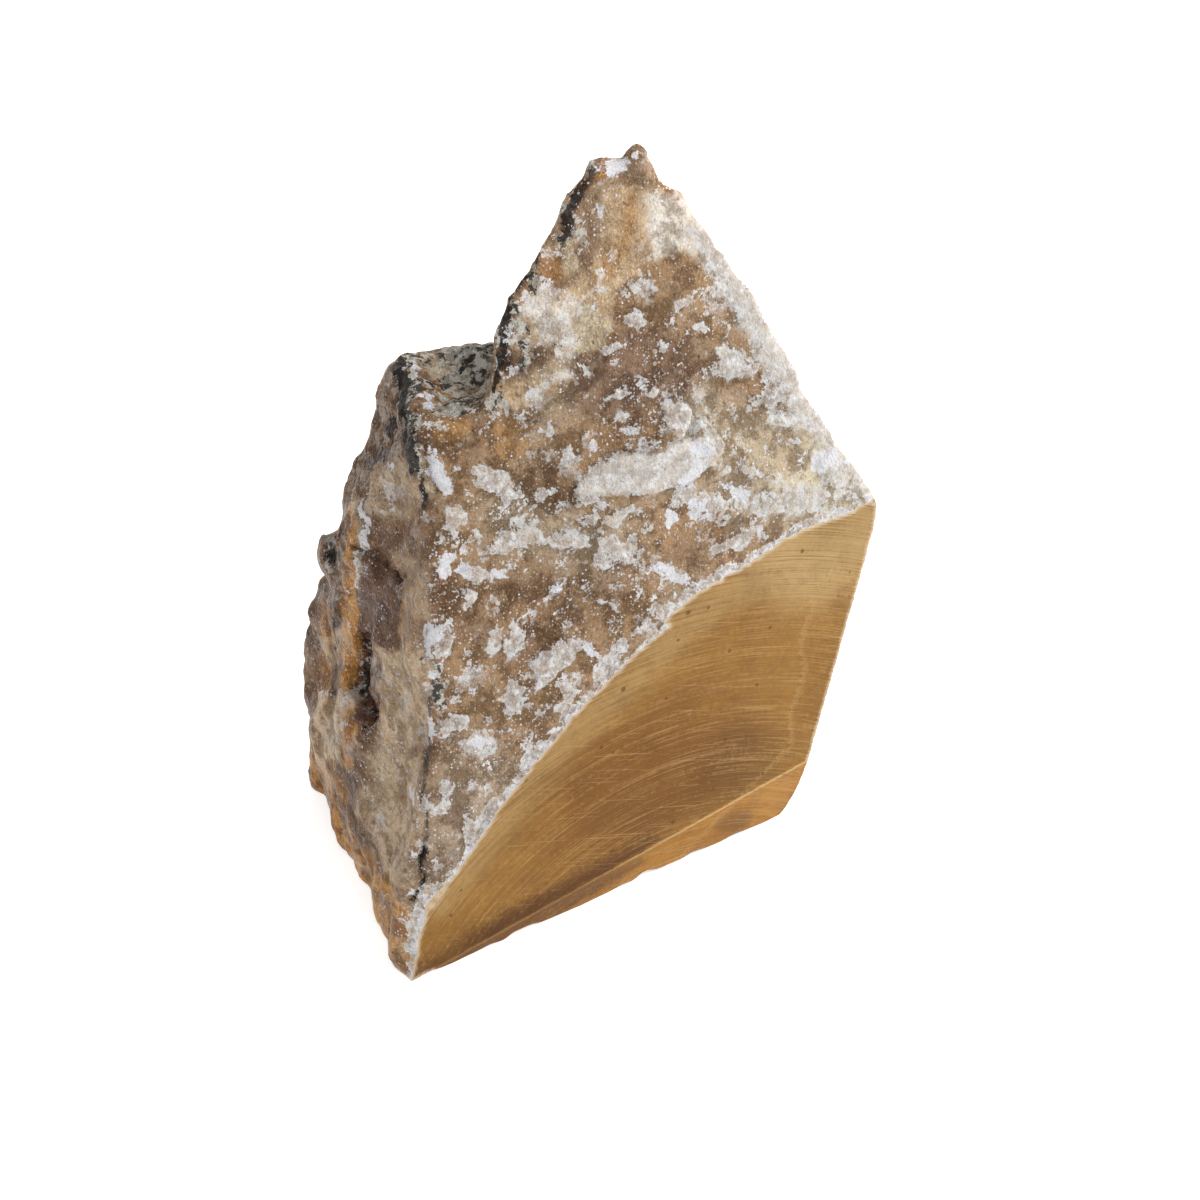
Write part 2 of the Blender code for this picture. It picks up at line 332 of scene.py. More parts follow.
# Frosted plates of the broken face.
PLATES = (
    Stroke(((700, 232), (742, 298), (784, 368), (822, 430), (860, 470), (876, 505)), 13.0),
    Patch(
        (
            (572, 499), (578, 475), (598, 459), (617, 452), (641, 447), (673, 441), (696, 440), (710, 450),
            (714, 466), (696, 478), (677, 487), (653, 497), (625, 496), (602, 493),
        ),
        0.8,
    ),
    Patch(((705, 349), (722, 342), (742, 350), (758, 366), (756, 382), (738, 384), (718, 372)), 0.4, True),
    Patch(((660, 410), (668, 402), (684, 402), (692, 414), (686, 434), (668, 438), (660, 428)), 1.4),
    Patch(((692, 424), (700, 419), (712, 432), (722, 448), (710, 456), (698, 448)), 1.2),
    Patch(
        (
            (471, 465), (483, 461), (499, 469), (513, 481), (521, 493),
            (512, 504), (499, 499), (485, 489),
        ),
        0.6,
    ),
    Patch(
        (
            (488, 553), (495, 538), (509, 526), (527, 528), (546, 534), (570, 533), (590, 540), (600, 552),
            (578, 550), (550, 544), (527, 546), (504, 554),
        ),
        0.5,
    ),
    Patch(((600, 522), (606, 534), (617, 543), (633, 551), (617, 558), (600, 557), (592, 544)), 0.4),
    Blot(482, 574, 13, 12, 0, 0.4, True),
    Patch(
        (
            (528, 698), (531, 672), (540, 655), (555, 642), (576, 637),
            (588, 643), (576, 658), (560, 673),
        ),
        0.7,
    ),
    Patch(((498, 650), (508, 634), (516, 628), (524, 640), (520, 656), (506, 662)), 0.3, True),
    Patch(((612, 652), (620, 638), (632, 640), (626, 652)), 0.2),
    Blot(511, 697, 10, 13, 0, 0.5),
    Blot(452, 728, 20, 15, 30, 0.5, True),
    Blot(482, 746, 18, 13, 20, 0.4, True),
    Blot(471, 830, 10, 20, -10, 0.4),
    Blot(626, 552, 20, 10, 6, 0.4, True),
    Blot(601, 552, 9, 17, 12, 0.3),
    Blot(664, 575, 12, 8, 26, 0.4, True),
    Blot(612, 520, 22, 8, 4, 0.3, True),
    Blot(736, 540, 22, 9, 22, 0.3, True),
    Blot(718, 508, 30, 12, -32, 0.3, True),
    Blot(690, 496, 18, 14, 30, 0.3, True),
    Blot(800, 500, 56, 14, 4, 0.2, True),
    Blot(846, 470, 26, 20, -30, 0.2, True),
    Blot(790, 420, 34, 8, -14, 0.3, True),
    Blot(772, 398, 26, 6, 10, 0.2, True),
    Blot(686, 303, 13, 7, 0, 0.4, True),
    Blot(632, 321, 8, 10, 0, 0.3),
    Blot(618, 395, 9, 5, 0, 0.3),
    Blot(650, 396, 9, 6, 20, 0.3),
    Blot(625, 417, 9, 6, 20, 0.3),
    Blot(698, 396, 9, 7, 0, 0.3),
    Blot(440, 640, 10, 22, -8, 0.4),
    Blot(492, 640, 9, 14, -30, 0.3),
    Blot(520, 630, 8, 6, 0, 0.3),
    Blot(560, 590, 8, 5, 20, 0.3),
    Blot(582, 585, 7, 5, 10, 0.3),
    Blot(498, 800, 9, 7, 0, 0.3),
    Blot(450, 790, 7, 9, 0, 0.3),
    Blot(560, 706, 16, 8, 40, 0.3, True),
    Blot(756, 470, 12, 7, -20, 0.3, True),
    Blot(726, 470, 9, 6, -20, 0.3),
    Blot(760, 350, 10, 7, 20, 0.2),
    Blot(700, 330, 8, 4, 0, 0.2),
    Blot(660, 345, 7, 4, 0, 0.2),
    Blot(590, 500, 14, 6, 10, 0.2, True),
    Blot(540, 500, 12, 6, 20, 0.2, True),
    Blot(456, 520, 12, 12, 20, 0.3, True),
    Blot(470, 600, 8, 8, 20, 0.3),
)

# Crushed, bright white stone: on the rim of the long cut, on ridges and at the corners of plates.
BRUISES = (
    Blot(825, 460, 22, 10, -6),
    Blot(701, 451, 9, 8, 0),
    Blot(694, 470, 7, 14, -20),
    Patch(((436, 588), (434, 568), (444, 549), (456, 556), (456, 570), (446, 580))),
    Patch(((646, 572), (660, 564), (676, 566), (696, 574), (690, 582), (670, 580), (655, 580))),
    Blot(434, 638, 7, 19, -8),
    Blot(436, 668, 6, 12, -14),
    Patch(((421, 446), (430, 443), (444, 462), (452, 490), (446, 496), (434, 478))),
    Blot(499, 571, 8, 5, 20),
    Blot(466, 570, 6, 7, 0),
    Blot(672, 520, 7, 9, 20),
    Blot(556, 590, 6, 6, 0),
    Blot(738, 492, 16, 5, -38),
    Blot(700, 508, 9, 12, 20),
    Blot(600, 506, 8, 5, 30),
    Blot(617, 166, 11, 9, 10),
    Blot(632, 150, 4, 5, 0),
    Blot(590, 168, 8, 5, 0),
    Blot(506, 342, 4, 9, 0),
    Blot(413, 370, 5, 10, 0),
    Blot(398, 398, 4, 4, 0),
    Blot(414, 388, 3, 3, 0),
    Blot(430, 404, 3, 6, 0),
    Blot(360, 487, 4, 6, 0),
    Blot(391, 465, 6, 5, 20),
    Stroke(((358, 488), (365, 520), (360, 550), (350, 590)), 2.2),
    Blot(322, 692, 4, 5, 0),
    Patch(((446, 372), (456, 370), (464, 380), (470, 394), (480, 402), (476, 410), (458, 406), (446, 392))),
    Blot(418, 396, 7, 4, 0),
    Blot(408, 364, 5, 7, 0),
    Blot(485, 742, 10, 5, 0),
    Blot(430, 724, 4, 12, 0),
    Blot(416, 792, 5, 7, 0),
    Blot(596, 652, 6, 8, 20),
    Blot(536, 684, 4, 14, -34),
)

# Weathered crust, dark with pale grains.
CRUST = (
    Patch(
        (
            (404, 346), (440, 330), (502, 334), (502, 404), (488, 412), (474, 394), (464, 376), (448, 364),
            (430, 366), (414, 362),
        )
    ),
    Stroke(((404, 350), (400, 400), (404, 440), (398, 476)), 9.0),
    Blot(378, 418, 24, 34, 30),
    Blot(356, 470, 13, 40, 20),
    Blot(334, 548, 16, 42, 8),
    Blot(574, 205, 7, 34, 14),
    Blot(562, 242, 7, 10, 20),
    Blot(514, 318, 9, 56, 14),
    Blot(528, 268, 8, 26, 24),
    Blot(586, 172, 10, 9, 0),
    Blot(440, 700, 7, 30, 10),
    Blot(417, 465, 5, 24, 0),
    Blot(312, 690, 5, 14, 0),
    Blot(364, 680, 12, 40, 0),
)

# Black and dark brown streaks, on the crust and off it. The two in the narrow cracks low on the ridge are
# painted shade.
DARK_STREAKS_AND_CRACK_SHADE = (
    Stroke(((400, 352), (402, 400), (404, 430), (412, 466)), 5.5),
    Stroke(((392, 420), (384, 450), (372, 470)), 4.0),
    Stroke(((414, 457), (423, 476), (422, 504)), 2.6),
    Stroke(((342, 470), (340, 500), (336, 530)), 4.0),
    Blot(330, 554, 8, 11),
    Stroke(((362, 644), (359, 690), (366, 728)), 2.6),
    Stroke(((336, 620), (334, 650)), 2.5),
    Stroke(((578, 186), (570, 214), (562, 236)), 4.5),
    Stroke(((532, 256), (512, 292), (502, 330), (499, 366)), 5.0),
    # Painted shade: black slits in two narrow cracks.
    Stroke(((425, 853), (423, 876)), 2.2),
    Stroke(((421, 880), (416, 900)), 2.0),
    Stroke(((490, 346), (470, 352), (462, 362)), 3.0),
    Stroke(((496, 372), (486, 390)), 3.0),
)

# Cracks and hollows, which are cut into the skin.
HOLLOWS = (
    Stroke(((420, 445), (430, 466), (440, 490)), 2.2, -1.4),
    Stroke(((352, 548), (376, 560), (396, 577)), 2.5, -1.6),
    Stroke(((360, 642), (356, 680), (368, 716)), 9.0, -2.6),
    Stroke(((428, 735), (424, 790), (426, 850)), 1.6, -0.8),
    Stroke(((425, 853), (423, 876)), 2.6, -1.6),
    Stroke(((421, 880), (416, 900)), 2.2, -1.4),
    Stroke(((574, 494), (568, 506), (552, 516)), 5.0, -0.9),
    Stroke(((660, 436), (640, 446), (606, 452)), 3.0, -0.8),
    Stroke(((700, 590), (735, 560)), 2.0, -0.4),
    Stroke(((498, 405), (520, 420), (560, 426)), 3.0, -0.9),
)

# Fibrous stone, which is drawn out down the stone.
FIBROUS = (Blot(604, 250, 48, 100, -8), Blot(380, 640, 50, 200))

# Broad tones of the front, each laid over those before it.
WASHES = (
    # The left face is grey-brown: partly its own colour, partly painted shade where it faces away from the
    # light.
    Wash(Tone.GREY_BROWN, Blot(370, 620, 75, 290, 0), 22, 0.85),
    Wash(Tone.SHADED_BEIGE, Blot(396, 830, 34, 120, 0), 16, 0.75),
    Wash(Tone.MAUVE_BROWN, Blot(632, 375, 70, 44, 14), 26, 0.9),
    Wash(Tone.DARK_BROWN, Patch(((511, 470), (560, 462), (600, 500), (560, 514), (520, 505))), 14, 0.8),
    Wash(Tone.DARK_BROWN, Patch(((500, 562), (620, 560), (640, 600), (560, 634), (490, 620))), 30, 0.6),
    Wash(Tone.DARK_BROWN, Patch(((430, 588), (480, 590), (486, 630), (450, 650), (434, 640))), 14, 0.7),
    Wash(Tone.GREY_BEIGE, Blot(470, 830, 56, 96, -14), 34, 0.7),
    # Partly painted light: the cream and white along the right of the broken face are frosted stone,
    # brightened where the light falls from the upper right.
    Wash(Tone.CREAM, Blot(780, 470, 90, 56, -20), 40, 0.6),
    Wash(Tone.CREAM, Blot(825, 488, 55, 26, 8), 18, 0.9),
    Wash(
        Tone.WHITE_CREAM,
        Stroke(((704, 240), (742, 298), (784, 368), (822, 430), (862, 484)), 15.0),
        16,
        0.9,
    ),
    Wash(
        Tone.WHITE_CREAM,
        Patch(((578, 490), (600, 461), (640, 449), (700, 442), (708, 464), (650, 492))),
        10,
        1.0,
    ),
    Wash(Tone.WHITE_CREAM, Patch(((708, 350), (742, 352), (754, 376), (730, 380))), 6, 0.8),
    Wash(Tone.HONEY, Blot(452, 428, 20, 15, 10), 10, 0.9),
    Wash(Tone.HONEY, Blot(508, 440, 20, 18, -30), 12, 0.9),
    Wash(
        Tone.PEACH,
        Patch(
            (
                (590, 186), (650, 186), (690, 200), (717, 252), (701, 254), (688, 246), (671, 250),
                (648, 262), (625, 283), (606, 350), (560, 350), (520, 330), (545, 262),
            )
        ),
        6,
        1.0,
    ),
    Wash(
        Tone.MAUVE_BROWN,
        Patch(((583, 187), (604, 187), (600, 225), (596, 262), (560, 300), (540, 280))),
        16,
        0.75,
    ),
    Wash(
        Tone.WHITE_CREAM,
        Patch(((650, 195), (690, 204), (724, 256), (701, 254), (688, 246), (655, 258))),
        10,
        0.8,
    ),
    Wash(Tone.ORANGE, Stroke(((632, 200), (626, 240), (604, 275)), 8.0), 14, 0.8),
    Wash(
        Tone.WHITE_CREAM,
        Patch(((526, 306), (545, 300), (572, 312), (575, 336), (560, 344), (534, 332))),
        6,
        0.8,
    ),
    Wash(Tone.CREAM, Patch(((574, 304), (596, 302), (612, 330), (600, 350), (576, 348))), 6, 0.9),
    Wash(Tone.OCHRE, Blot(556, 268, 16, 16, 30), 10, 0.6),
    Wash(Tone.REDDISH_BROWN, Blot(530, 358, 26, 12, 20), 12, 0.6),
    Wash(Tone.PEACH, Blot(530, 390, 34, 16, 10), 8, 0.9),
    Wash(Tone.WHITE_CREAM, Blot(560, 376, 14, 8, 10), 8, 0.7),
    Wash(Tone.UMBER, Stroke(((584, 184), (572, 214), (564, 236)), 6.0), 7, 0.9),
    Wash(Tone.UMBER, Stroke(((534, 254), (514, 290), (504, 330), (500, 366)), 8.0), 9, 0.85),
    Wash(Tone.CREAM, Blot(566, 244, 10, 9, 0), 6, 0.8),
    Wash(Tone.CREAM, Blot(572, 262, 8, 12, 0), 6, 0.8),
    Wash(
        Tone.DARK_BROWN,
        Patch(((319, 495), (347, 490), (350, 540), (345, 599), (322, 590), (316, 545))),
        8,
        0.9,
    ),
    Wash(
        Tone.DARK_BROWN,
        Patch(((347, 428), (380, 405), (414, 400), (414, 462), (385, 480), (352, 495))),
        10,
        0.8,
    ),
    Wash(Tone.SOOT_AND_CRACK_SHADE, Stroke(((400, 352), (402, 400), (404, 430), (412, 466)), 7.0), 6, 0.95),
    Wash(Tone.SOOT_AND_CRACK_SHADE, Stroke(((414, 457), (423, 476), (422, 504)), 3.0), 4, 0.95),
    Wash(
        Tone.MAUVE_GREY,
        Patch(((352, 550), (375, 556), (402, 582), (402, 646), (376, 648), (354, 640))),
        5,
        0.95,
    ),
    Wash(
        Tone.SHADED_BEIGE,
        Patch(((397, 556), (428, 560), (430, 640), (428, 665), (404, 650), (402, 590))),
        8,
        0.6,
    ),
    Wash(Tone.ORANGE, Stroke(((404, 590), (406, 640), (420, 664)), 4.0), 7, 0.6),
    Wash(Tone.SHADED_OCHRE, Stroke(((352, 504), (350, 600), (348, 690), (352, 760)), 6.0), 5, 0.95),
    Wash(Tone.SHADED_OCHRE, Stroke(((330, 610), (322, 680), (318, 740)), 6.0), 8, 0.6),
    Wash(Tone.UMBER, Stroke(((356, 430), (338, 484), (330, 530)), 5.0), 9, 0.75),
    Wash(Tone.UMBER, Stroke(((336, 596), (336, 660), (332, 700)), 3.0), 6, 0.7),
    Wash(Tone.CREAM, Stroke(((352, 500), (362, 540), (356, 580)), 3.0), 4, 0.8),
    # Painted bounce light: an ochre glow along the lower left edge, by the floor.
    Wash(Tone.SHADED_OCHRE, Stroke(((316, 760), (330, 830), (380, 890), (398, 930)), 14.0), 10, 0.9),
    Wash(
        Tone.REDDISH_BROWN,
        Patch(((354, 637), (372, 640), (378, 690), (376, 732), (356, 740), (350, 690))),
        5,
        0.95,
    ),
    Wash(Tone.SOOT_AND_CRACK_SHADE, Blot(330, 555, 9, 11, 0), 4, 0.95),
    Wash(
        Tone.SHADED_BEIGE,
        Patch(((378, 650), (428, 648), (432, 690), (428, 732), (382, 736), (378, 690))),
        4,
        0.9,
    ),
    Wash(Tone.CREAM, Stroke(((427, 462), (430, 490)), 5.0), 5, 0.7),
    Wash(Tone.CREAM, Blot(328, 735, 16, 28, 10), 8, 0.6),
    Wash(Tone.SHADED_BEIGE, Blot(392, 492, 26, 30, 10), 12, 0.6),
    Wash(Tone.SHADED_BEIGE, Blot(392, 800, 20, 44, 10), 10, 0.7),
    Wash(Tone.SHADED_BEIGE, Patch(((322, 640), (344, 630), (342, 660), (326, 668))), 5, 0.7),
    Wash(Tone.SHADED_BEIGE, Patch(((312, 700), (340, 690), (346, 740), (322, 770), (310, 740))), 6, 0.8),
    Wash(Tone.UMBER, Stroke(((346, 770), (362, 830), (386, 880)), 4.0), 6, 0.6),
    # Painted bounce light: an orange glow at the lower left edge, by the floor.
    Wash(Tone.ORANGE, Stroke(((385, 900), (398, 940), (410, 975)), 8.0), 8, 0.8),
    # Painted shade: black slits in two narrow cracks, and a thin dark line down the crack above them.
    Wash(Tone.SOOT_AND_CRACK_SHADE, Stroke(((425, 853), (423, 876)), 2.4), 3, 0.95),
    Wash(Tone.SOOT_AND_CRACK_SHADE, Stroke(((421, 880), (416, 900)), 2.2), 3, 0.95),
    Wash(Tone.UMBER, Stroke(((430, 690), (428, 735), (424, 790), (425, 850)), 1.8), 3, 0.8),
    Wash(Tone.UMBER, Stroke(((354, 548), (376, 556), (398, 576)), 2.4), 4, 0.85),
    Wash(Tone.GREY_BEIGE, Blot(640, 165, 15, 22, 0), 8, 0.7),
    Wash(Tone.SHADED_OCHRE, Blot(599, 175, 8, 4, 0), 4, 0.9),
    Wash(Tone.CREAM, Patch(((420, 356), (446, 362), (462, 380), (440, 384), (424, 374))), 6, 0.9),
    Wash(Tone.OCHRE, Blot(436, 390, 9, 8, 0), 6, 0.9),
    # Painted bounce light: a honey glow on the chipped foot, by the floor.
    Wash(Tone.HONEY, Stroke(((420, 985), (560, 922), (650, 872), (800, 800)), 9.0), 6, 1.0),
)

# The rim between the broken front and the sawn face.
SAWN_RIM = (
    (408, 975), (418, 940), (425, 905), (450, 878), (480, 848), (505, 815), (530, 783), (550, 750),
    (575, 715), (600, 690), (625, 666), (650, 643), (700, 600), (740, 570), (790, 537), (830, 520),
    (876, 508),
)

# The pale vein that runs down the right of the sawn face.
VEIN = Thread(((815, 600), (805, 630), (800, 650), (806, 665), (800, 690), (790, 710), (792, 745)))

# Tones of the sawn faces, with painted light and shade: a painted sheen at the upper right, painted shade low
# in the middle, and a band of painted shade along the foot.
SAWN_WASHES = (
    # Painted sheen: paler at the upper right, where the light falls.
    Wash(Tone.PALE_TAN, Blot(820, 548, 70, 50, 30), 50, 1.0),
    Wash(Tone.PALE_TAN, Stroke(((440, 900), (560, 750), (700, 612), (860, 520)), 16.0), 26, 0.6),
    # Painted shade: deeper tan low in the middle, darker towards the floor.
    Wash(Tone.DEEP_TAN, Blot(640, 780, 110, 60, 34), 60, 0.9),
    Wash(Tone.BROWN_TAN, Blot(740, 768, 50, 40, 40), 44, 0.5),
    # Painted shade: a dark band along the foot, near the floor.
    Wash(Tone.BROWN_TAN, Stroke(((478, 945), (560, 900), (650, 850)), 13.0), 16, 1.0),
)

SHORT_CUT_WASHES = (
    # Painted shade: a dark band along the top edge of the short cut, on its left, near the floor.
    Wash(Tone.BROWN_TAN, Stroke(((486, 950), (560, 912), (640, 862)), 3.0), 8, 0.7),
    Wash(Tone.BROWN_TAN, Blot(732, 822, 20, 10, 20), 8, 0.6),
)


@dataclass(frozen=True)
class Flakes:
    """Flakes strewn over the broken stone.

    The length, in millimetres, is how far apart the places are that may hold one, and the share is of those
    that do. The radius is that of the largest flake, in these lengths. A flake fades out in one direction,
    which is down and to the right in the photograph.
    """

    length: float
    share: float
    radius: float = 0.75
    start: tuple[float, float, float] = (0.0, 0.0, 0.0)
    fade: tuple[float, float, float] = (0.62, -0.2, -0.75)


@dataclass(frozen=True)
class Waves:
    """Soft noise.

    The length is its wavelength, in the units of the place where it is read. The detail is the number of
    finer layers, and rough is the strength of each. The start moves the noise, so that no two match.
    """

    length: float
    detail: float = 2.0
    rough: float = 0.55
    start: tuple[float, float, float] = (0.0, 0.0, 0.0)


@dataclass(frozen=True)
class Specks:
    """Small round specks.

    The length is how far apart the grains are that may hold a speck, and the share is of those that do. The
    radius is that of the largest speck, in grain lengths.
    """

    length: float
    share: float
    radius: float
    start: tuple[float, float, float] = (0.0, 0.0, 0.0)


@dataclass(frozen=True)
class Value:
    """A number on a shader socket, which Python's own signs work on."""

    shading: Shading
    socket: Socket

    def _maths(self, operation: str, *parts: object) -> Value:
        """Adds a Math node and returns its result."""
        node = self.shading.node("ShaderNodeMath", {"operation": operation}, dict(enumerate(parts)))
        return Value(self.shading, node.outputs[0])

    def __add__(self, other: object) -> Value:
        """Returns this value plus the other."""
        return self._maths("ADD", self, other)

    def __radd__(self, other: object) -> Value:
        """Returns the other plus this value."""
        return self._maths("ADD", other, self)

    def __sub__(self, other: object) -> Value:
        """Returns this value less the other."""
        return self._maths("SUBTRACT", self, other)

    def __rsub__(self, other: object) -> Value:
        """Returns the other less this value."""
        return self._maths("SUBTRACT", other, self)

    def __mul__(self, other: object) -> Value:
        """Returns this value times the other."""
        return self._maths("MULTIPLY", self, other)

    def __rmul__(self, other: object) -> Value:
        """Returns the other times this value."""
        return self._maths("MULTIPLY", other, self)

    def larger(self, other: object) -> Value:
        """Returns the larger of this value and the other."""
        return self._maths("MAXIMUM", self, other)

    def root(self) -> Value:
        """Returns the square root of this value."""
        return self._maths("SQRT", self)

    def turn(self, other: object) -> Value:
        """Returns the angle, in radians, whose sine is to its cosine as this value is to the other."""
        return self._maths("ARCTAN2", self, other)

    def stepped(self, low: float, high: float) -> Value:
        """Returns a smooth step of this value: 0 at low and 1 at high."""
        node = self.shading.node(
            "ShaderNodeMapRange",
            {"interpolation_type": "SMOOTHSTEP"},
            {"Value": self, "From Min": low, "From Max": high},
        )
        return Value(self.shading, node.outputs["Result"])


@dataclass(frozen=True)
class Shading:
    """The nodes of one material."""

    material: bpy.types.Material

    @classmethod
    def named(cls, name: str) -> Shading:
        """Starts a material of a name, with no nodes in it."""
        material = bpy.data.materials.new(name)
        material.use_nodes = True
        material.node_tree.nodes.clear()
        return cls(material)

    def node(self, kind: str, settings: dict | None = None, inputs: dict | None = None) -> bpy.types.Node:
        """Adds a node.

        Args:
            kind: the node's type.
            settings: the node's own settings, by name. They are set before the sockets.
            inputs: for sockets by name or number, a plain value or what is linked to it.

        Returns:
            The node.
        """
        tree = self.material.node_tree
        node = tree.nodes.new(kind)
        for name, setting in (settings or {}).items():
            setattr(node, name, setting)
        for name, given in (inputs or {}).items():
            if isinstance(given, Value):
                tree.links.new(given.socket, node.inputs[name])
            elif isinstance(given, Socket):
                tree.links.new(given, node.inputs[name])
            else:
                node.inputs[name].default_value = given
        return node

    def vector(self, operation: str, first: Socket, other: object) -> bpy.types.Node:
        """Adds a Vector Math node, whose second part is a number where it scales."""
        second = "Scale" if operation == "SCALE" else 1
        return self.node("ShaderNodeVectorMath", {"operation": operation}, {0: first, second: other})

    def place(self) -> Socket:
        """Returns the place on the stone in millimetres."""
        metres = self.node("ShaderNodeTexCoord").outputs["Object"]
        return self.vector("SCALE", metres, METRE).outputs["Vector"]

    def moved(self, place: Socket, by: Sequence[float]) -> Socket:
        """Returns a place moved by fixed lengths, so that two patterns don't match."""
        if not any(by):
            return place
        return self.vector("ADD", place, tuple(by)).outputs["Vector"]

    def along(self, place: Socket, direction: Sequence[float]) -> Value:
        """Returns how far a place lies along a direction."""
        return Value(self, self.vector("DOT_PRODUCT", place, tuple(direction)).outputs["Value"])

    def stored(self, name: str) -> Value:
        """Returns a number that is stored on the mesh."""
        node = self.node("ShaderNodeAttribute", {"attribute_name": name})
        return Value(self, node.outputs["Fac"])

    def stored_colour(self, name: str) -> Socket:
        """Returns a colour that is stored on the mesh."""
        return self.node("ShaderNodeAttribute", {"attribute_name": name}).outputs["Color"]

    def waves(self, place: Socket, waves: Waves) -> Value:
        """Returns soft noise, from about -1 to 1."""
        return Value(self, self.noise(place, waves).outputs["Fac"]) * NOISE_GAIN

    def noise(self, place: Socket, waves: Waves) -> bpy.types.Node:
        """Returns the node of soft noise."""
        return self.node(
            "ShaderNodeTexNoise",
            {"noise_dimensions": "3D", "normalize": False},
            {
                "Vector": self.moved(place, waves.start),
                "Scale": 1.0 / waves.length,
                "Detail": waves.detail,
                "Roughness": waves.rough,
            },
        )

    def bent(self, place: Socket, waves: Waves, reach: float) -> Socket:
        """Returns a place moved about by noise, so that what is read there has ragged edges."""
        colour = self.noise(place, waves).outputs["Color"]
        offset = self.vector("SCALE", colour, reach * NOISE_GAIN).outputs["Vector"]
        return self.vector("ADD", place, offset).outputs["Vector"]

    def grains(self, place: Socket, length: float) -> tuple[Value, Value, Socket]:
        """Finds the nearest grain, where grains lie a length apart.

        Returns:
            The distance from its middle, in grain lengths, a number of its own from 0 to 1, and its middle.
        """
        node = self.node(
            "ShaderNodeTexVoronoi", {"voronoi_dimensions": "3D"}, {"Vector": place, "Scale": 1.0 / length}
        )
        split = self.node("ShaderNodeSeparateColor", {}, {"Color": node.outputs["Color"]})
        own = Value(self, split.outputs["Red"])
        return Value(self, node.outputs["Distance"]), own, node.outputs["Position"]

    def flakes(self, place: Socket, flakes: Flakes) -> Value:
        """Returns a mask of flakes: 1 inside their sharp edges, fading out towards their far sides."""
        place = self.moved(place, flakes.start)
        away, own, middle = self.grains(place, flakes.length)
        size = (own - (1.0 - flakes.share)) * (flakes.radius / flakes.share)
        offset = self.vector("SUBTRACT", place, middle).outputs["Vector"]
        shown = (self.along(offset, flakes.fade) * (1.0 / flakes.length)).stepped(0.4, -0.2)
        return (size - away).stepped(0.0, 0.1) * (shown * 0.85 + 0.15)

    def specks(self, place: Socket, specks: Specks) -> Value:
        """Returns a mask of specks: 1 in a speck and 0 between them."""
        away, own, _ = self.grains(self.moved(place, specks.start), specks.length)
        size = (own - (1.0 - specks.share)) * (specks.radius / specks.share)
        return (size - away).stepped(-0.04, 0.04)

    def mixed(self, share: Value | float, first: object, second: object, blend: str = "MIX") -> Socket:
        """Returns a mix of two colours: the first where the share is 0."""
        colours = {}
        for socket, colour in zip(MIX_COLOURS, (first, second)):
            if isinstance(colour, Tone):
                colour = colour.value
            colours[socket] = (*colour, 1.0) if isinstance(colour, tuple) else colour
        node = self.node("ShaderNodeMix", {"data_type": "RGBA", "blend_type": blend}, {0: share, **colours})
        return node.outputs[MIX_RESULT]

    def bump(self, height: Value, depth: float) -> Socket:
        """Returns the normal of a relief.

        Args:
            height: the relief, from about -1 to 1.
            depth: how many millimetres a height of 1 stands out.

        Returns:
            The normal.
        """
        inputs = {"Strength": 1.0, "Distance": depth * MILLIMETRE, "Height": height}
        return self.node("ShaderNodeBump", {}, inputs).outputs["Normal"]

    def surface(self, inputs: dict) -> Socket:
        """Returns a Principled shader with these inputs."""
        return self.node("ShaderNodeBsdfPrincipled", {}, inputs).outputs["BSDF"]

    def blend(self, share: Value, first: Socket, second: Socket) -> Socket:
        """Returns a mix of two shaders: the first where the share is 0."""
        return self.node("ShaderNodeMixShader", {}, {0: share, 1: first, 2: second}).outputs["Shader"]

    def finish(self, shader: Socket) -> bpy.types.Material:
        """Links the shader to the output and returns the material."""
        self.node("ShaderNodeOutputMaterial", {}, {"Surface": shader})
        return self.material


@dataclass(frozen=True)
class Patterns:
    """What several layers of the broken stone read: noise, the bent place, and where there is no stain."""

    clouds: Value
    crowd: Value
    ragged: Value
    veil: Value
    torn: Socket
    plain: Value


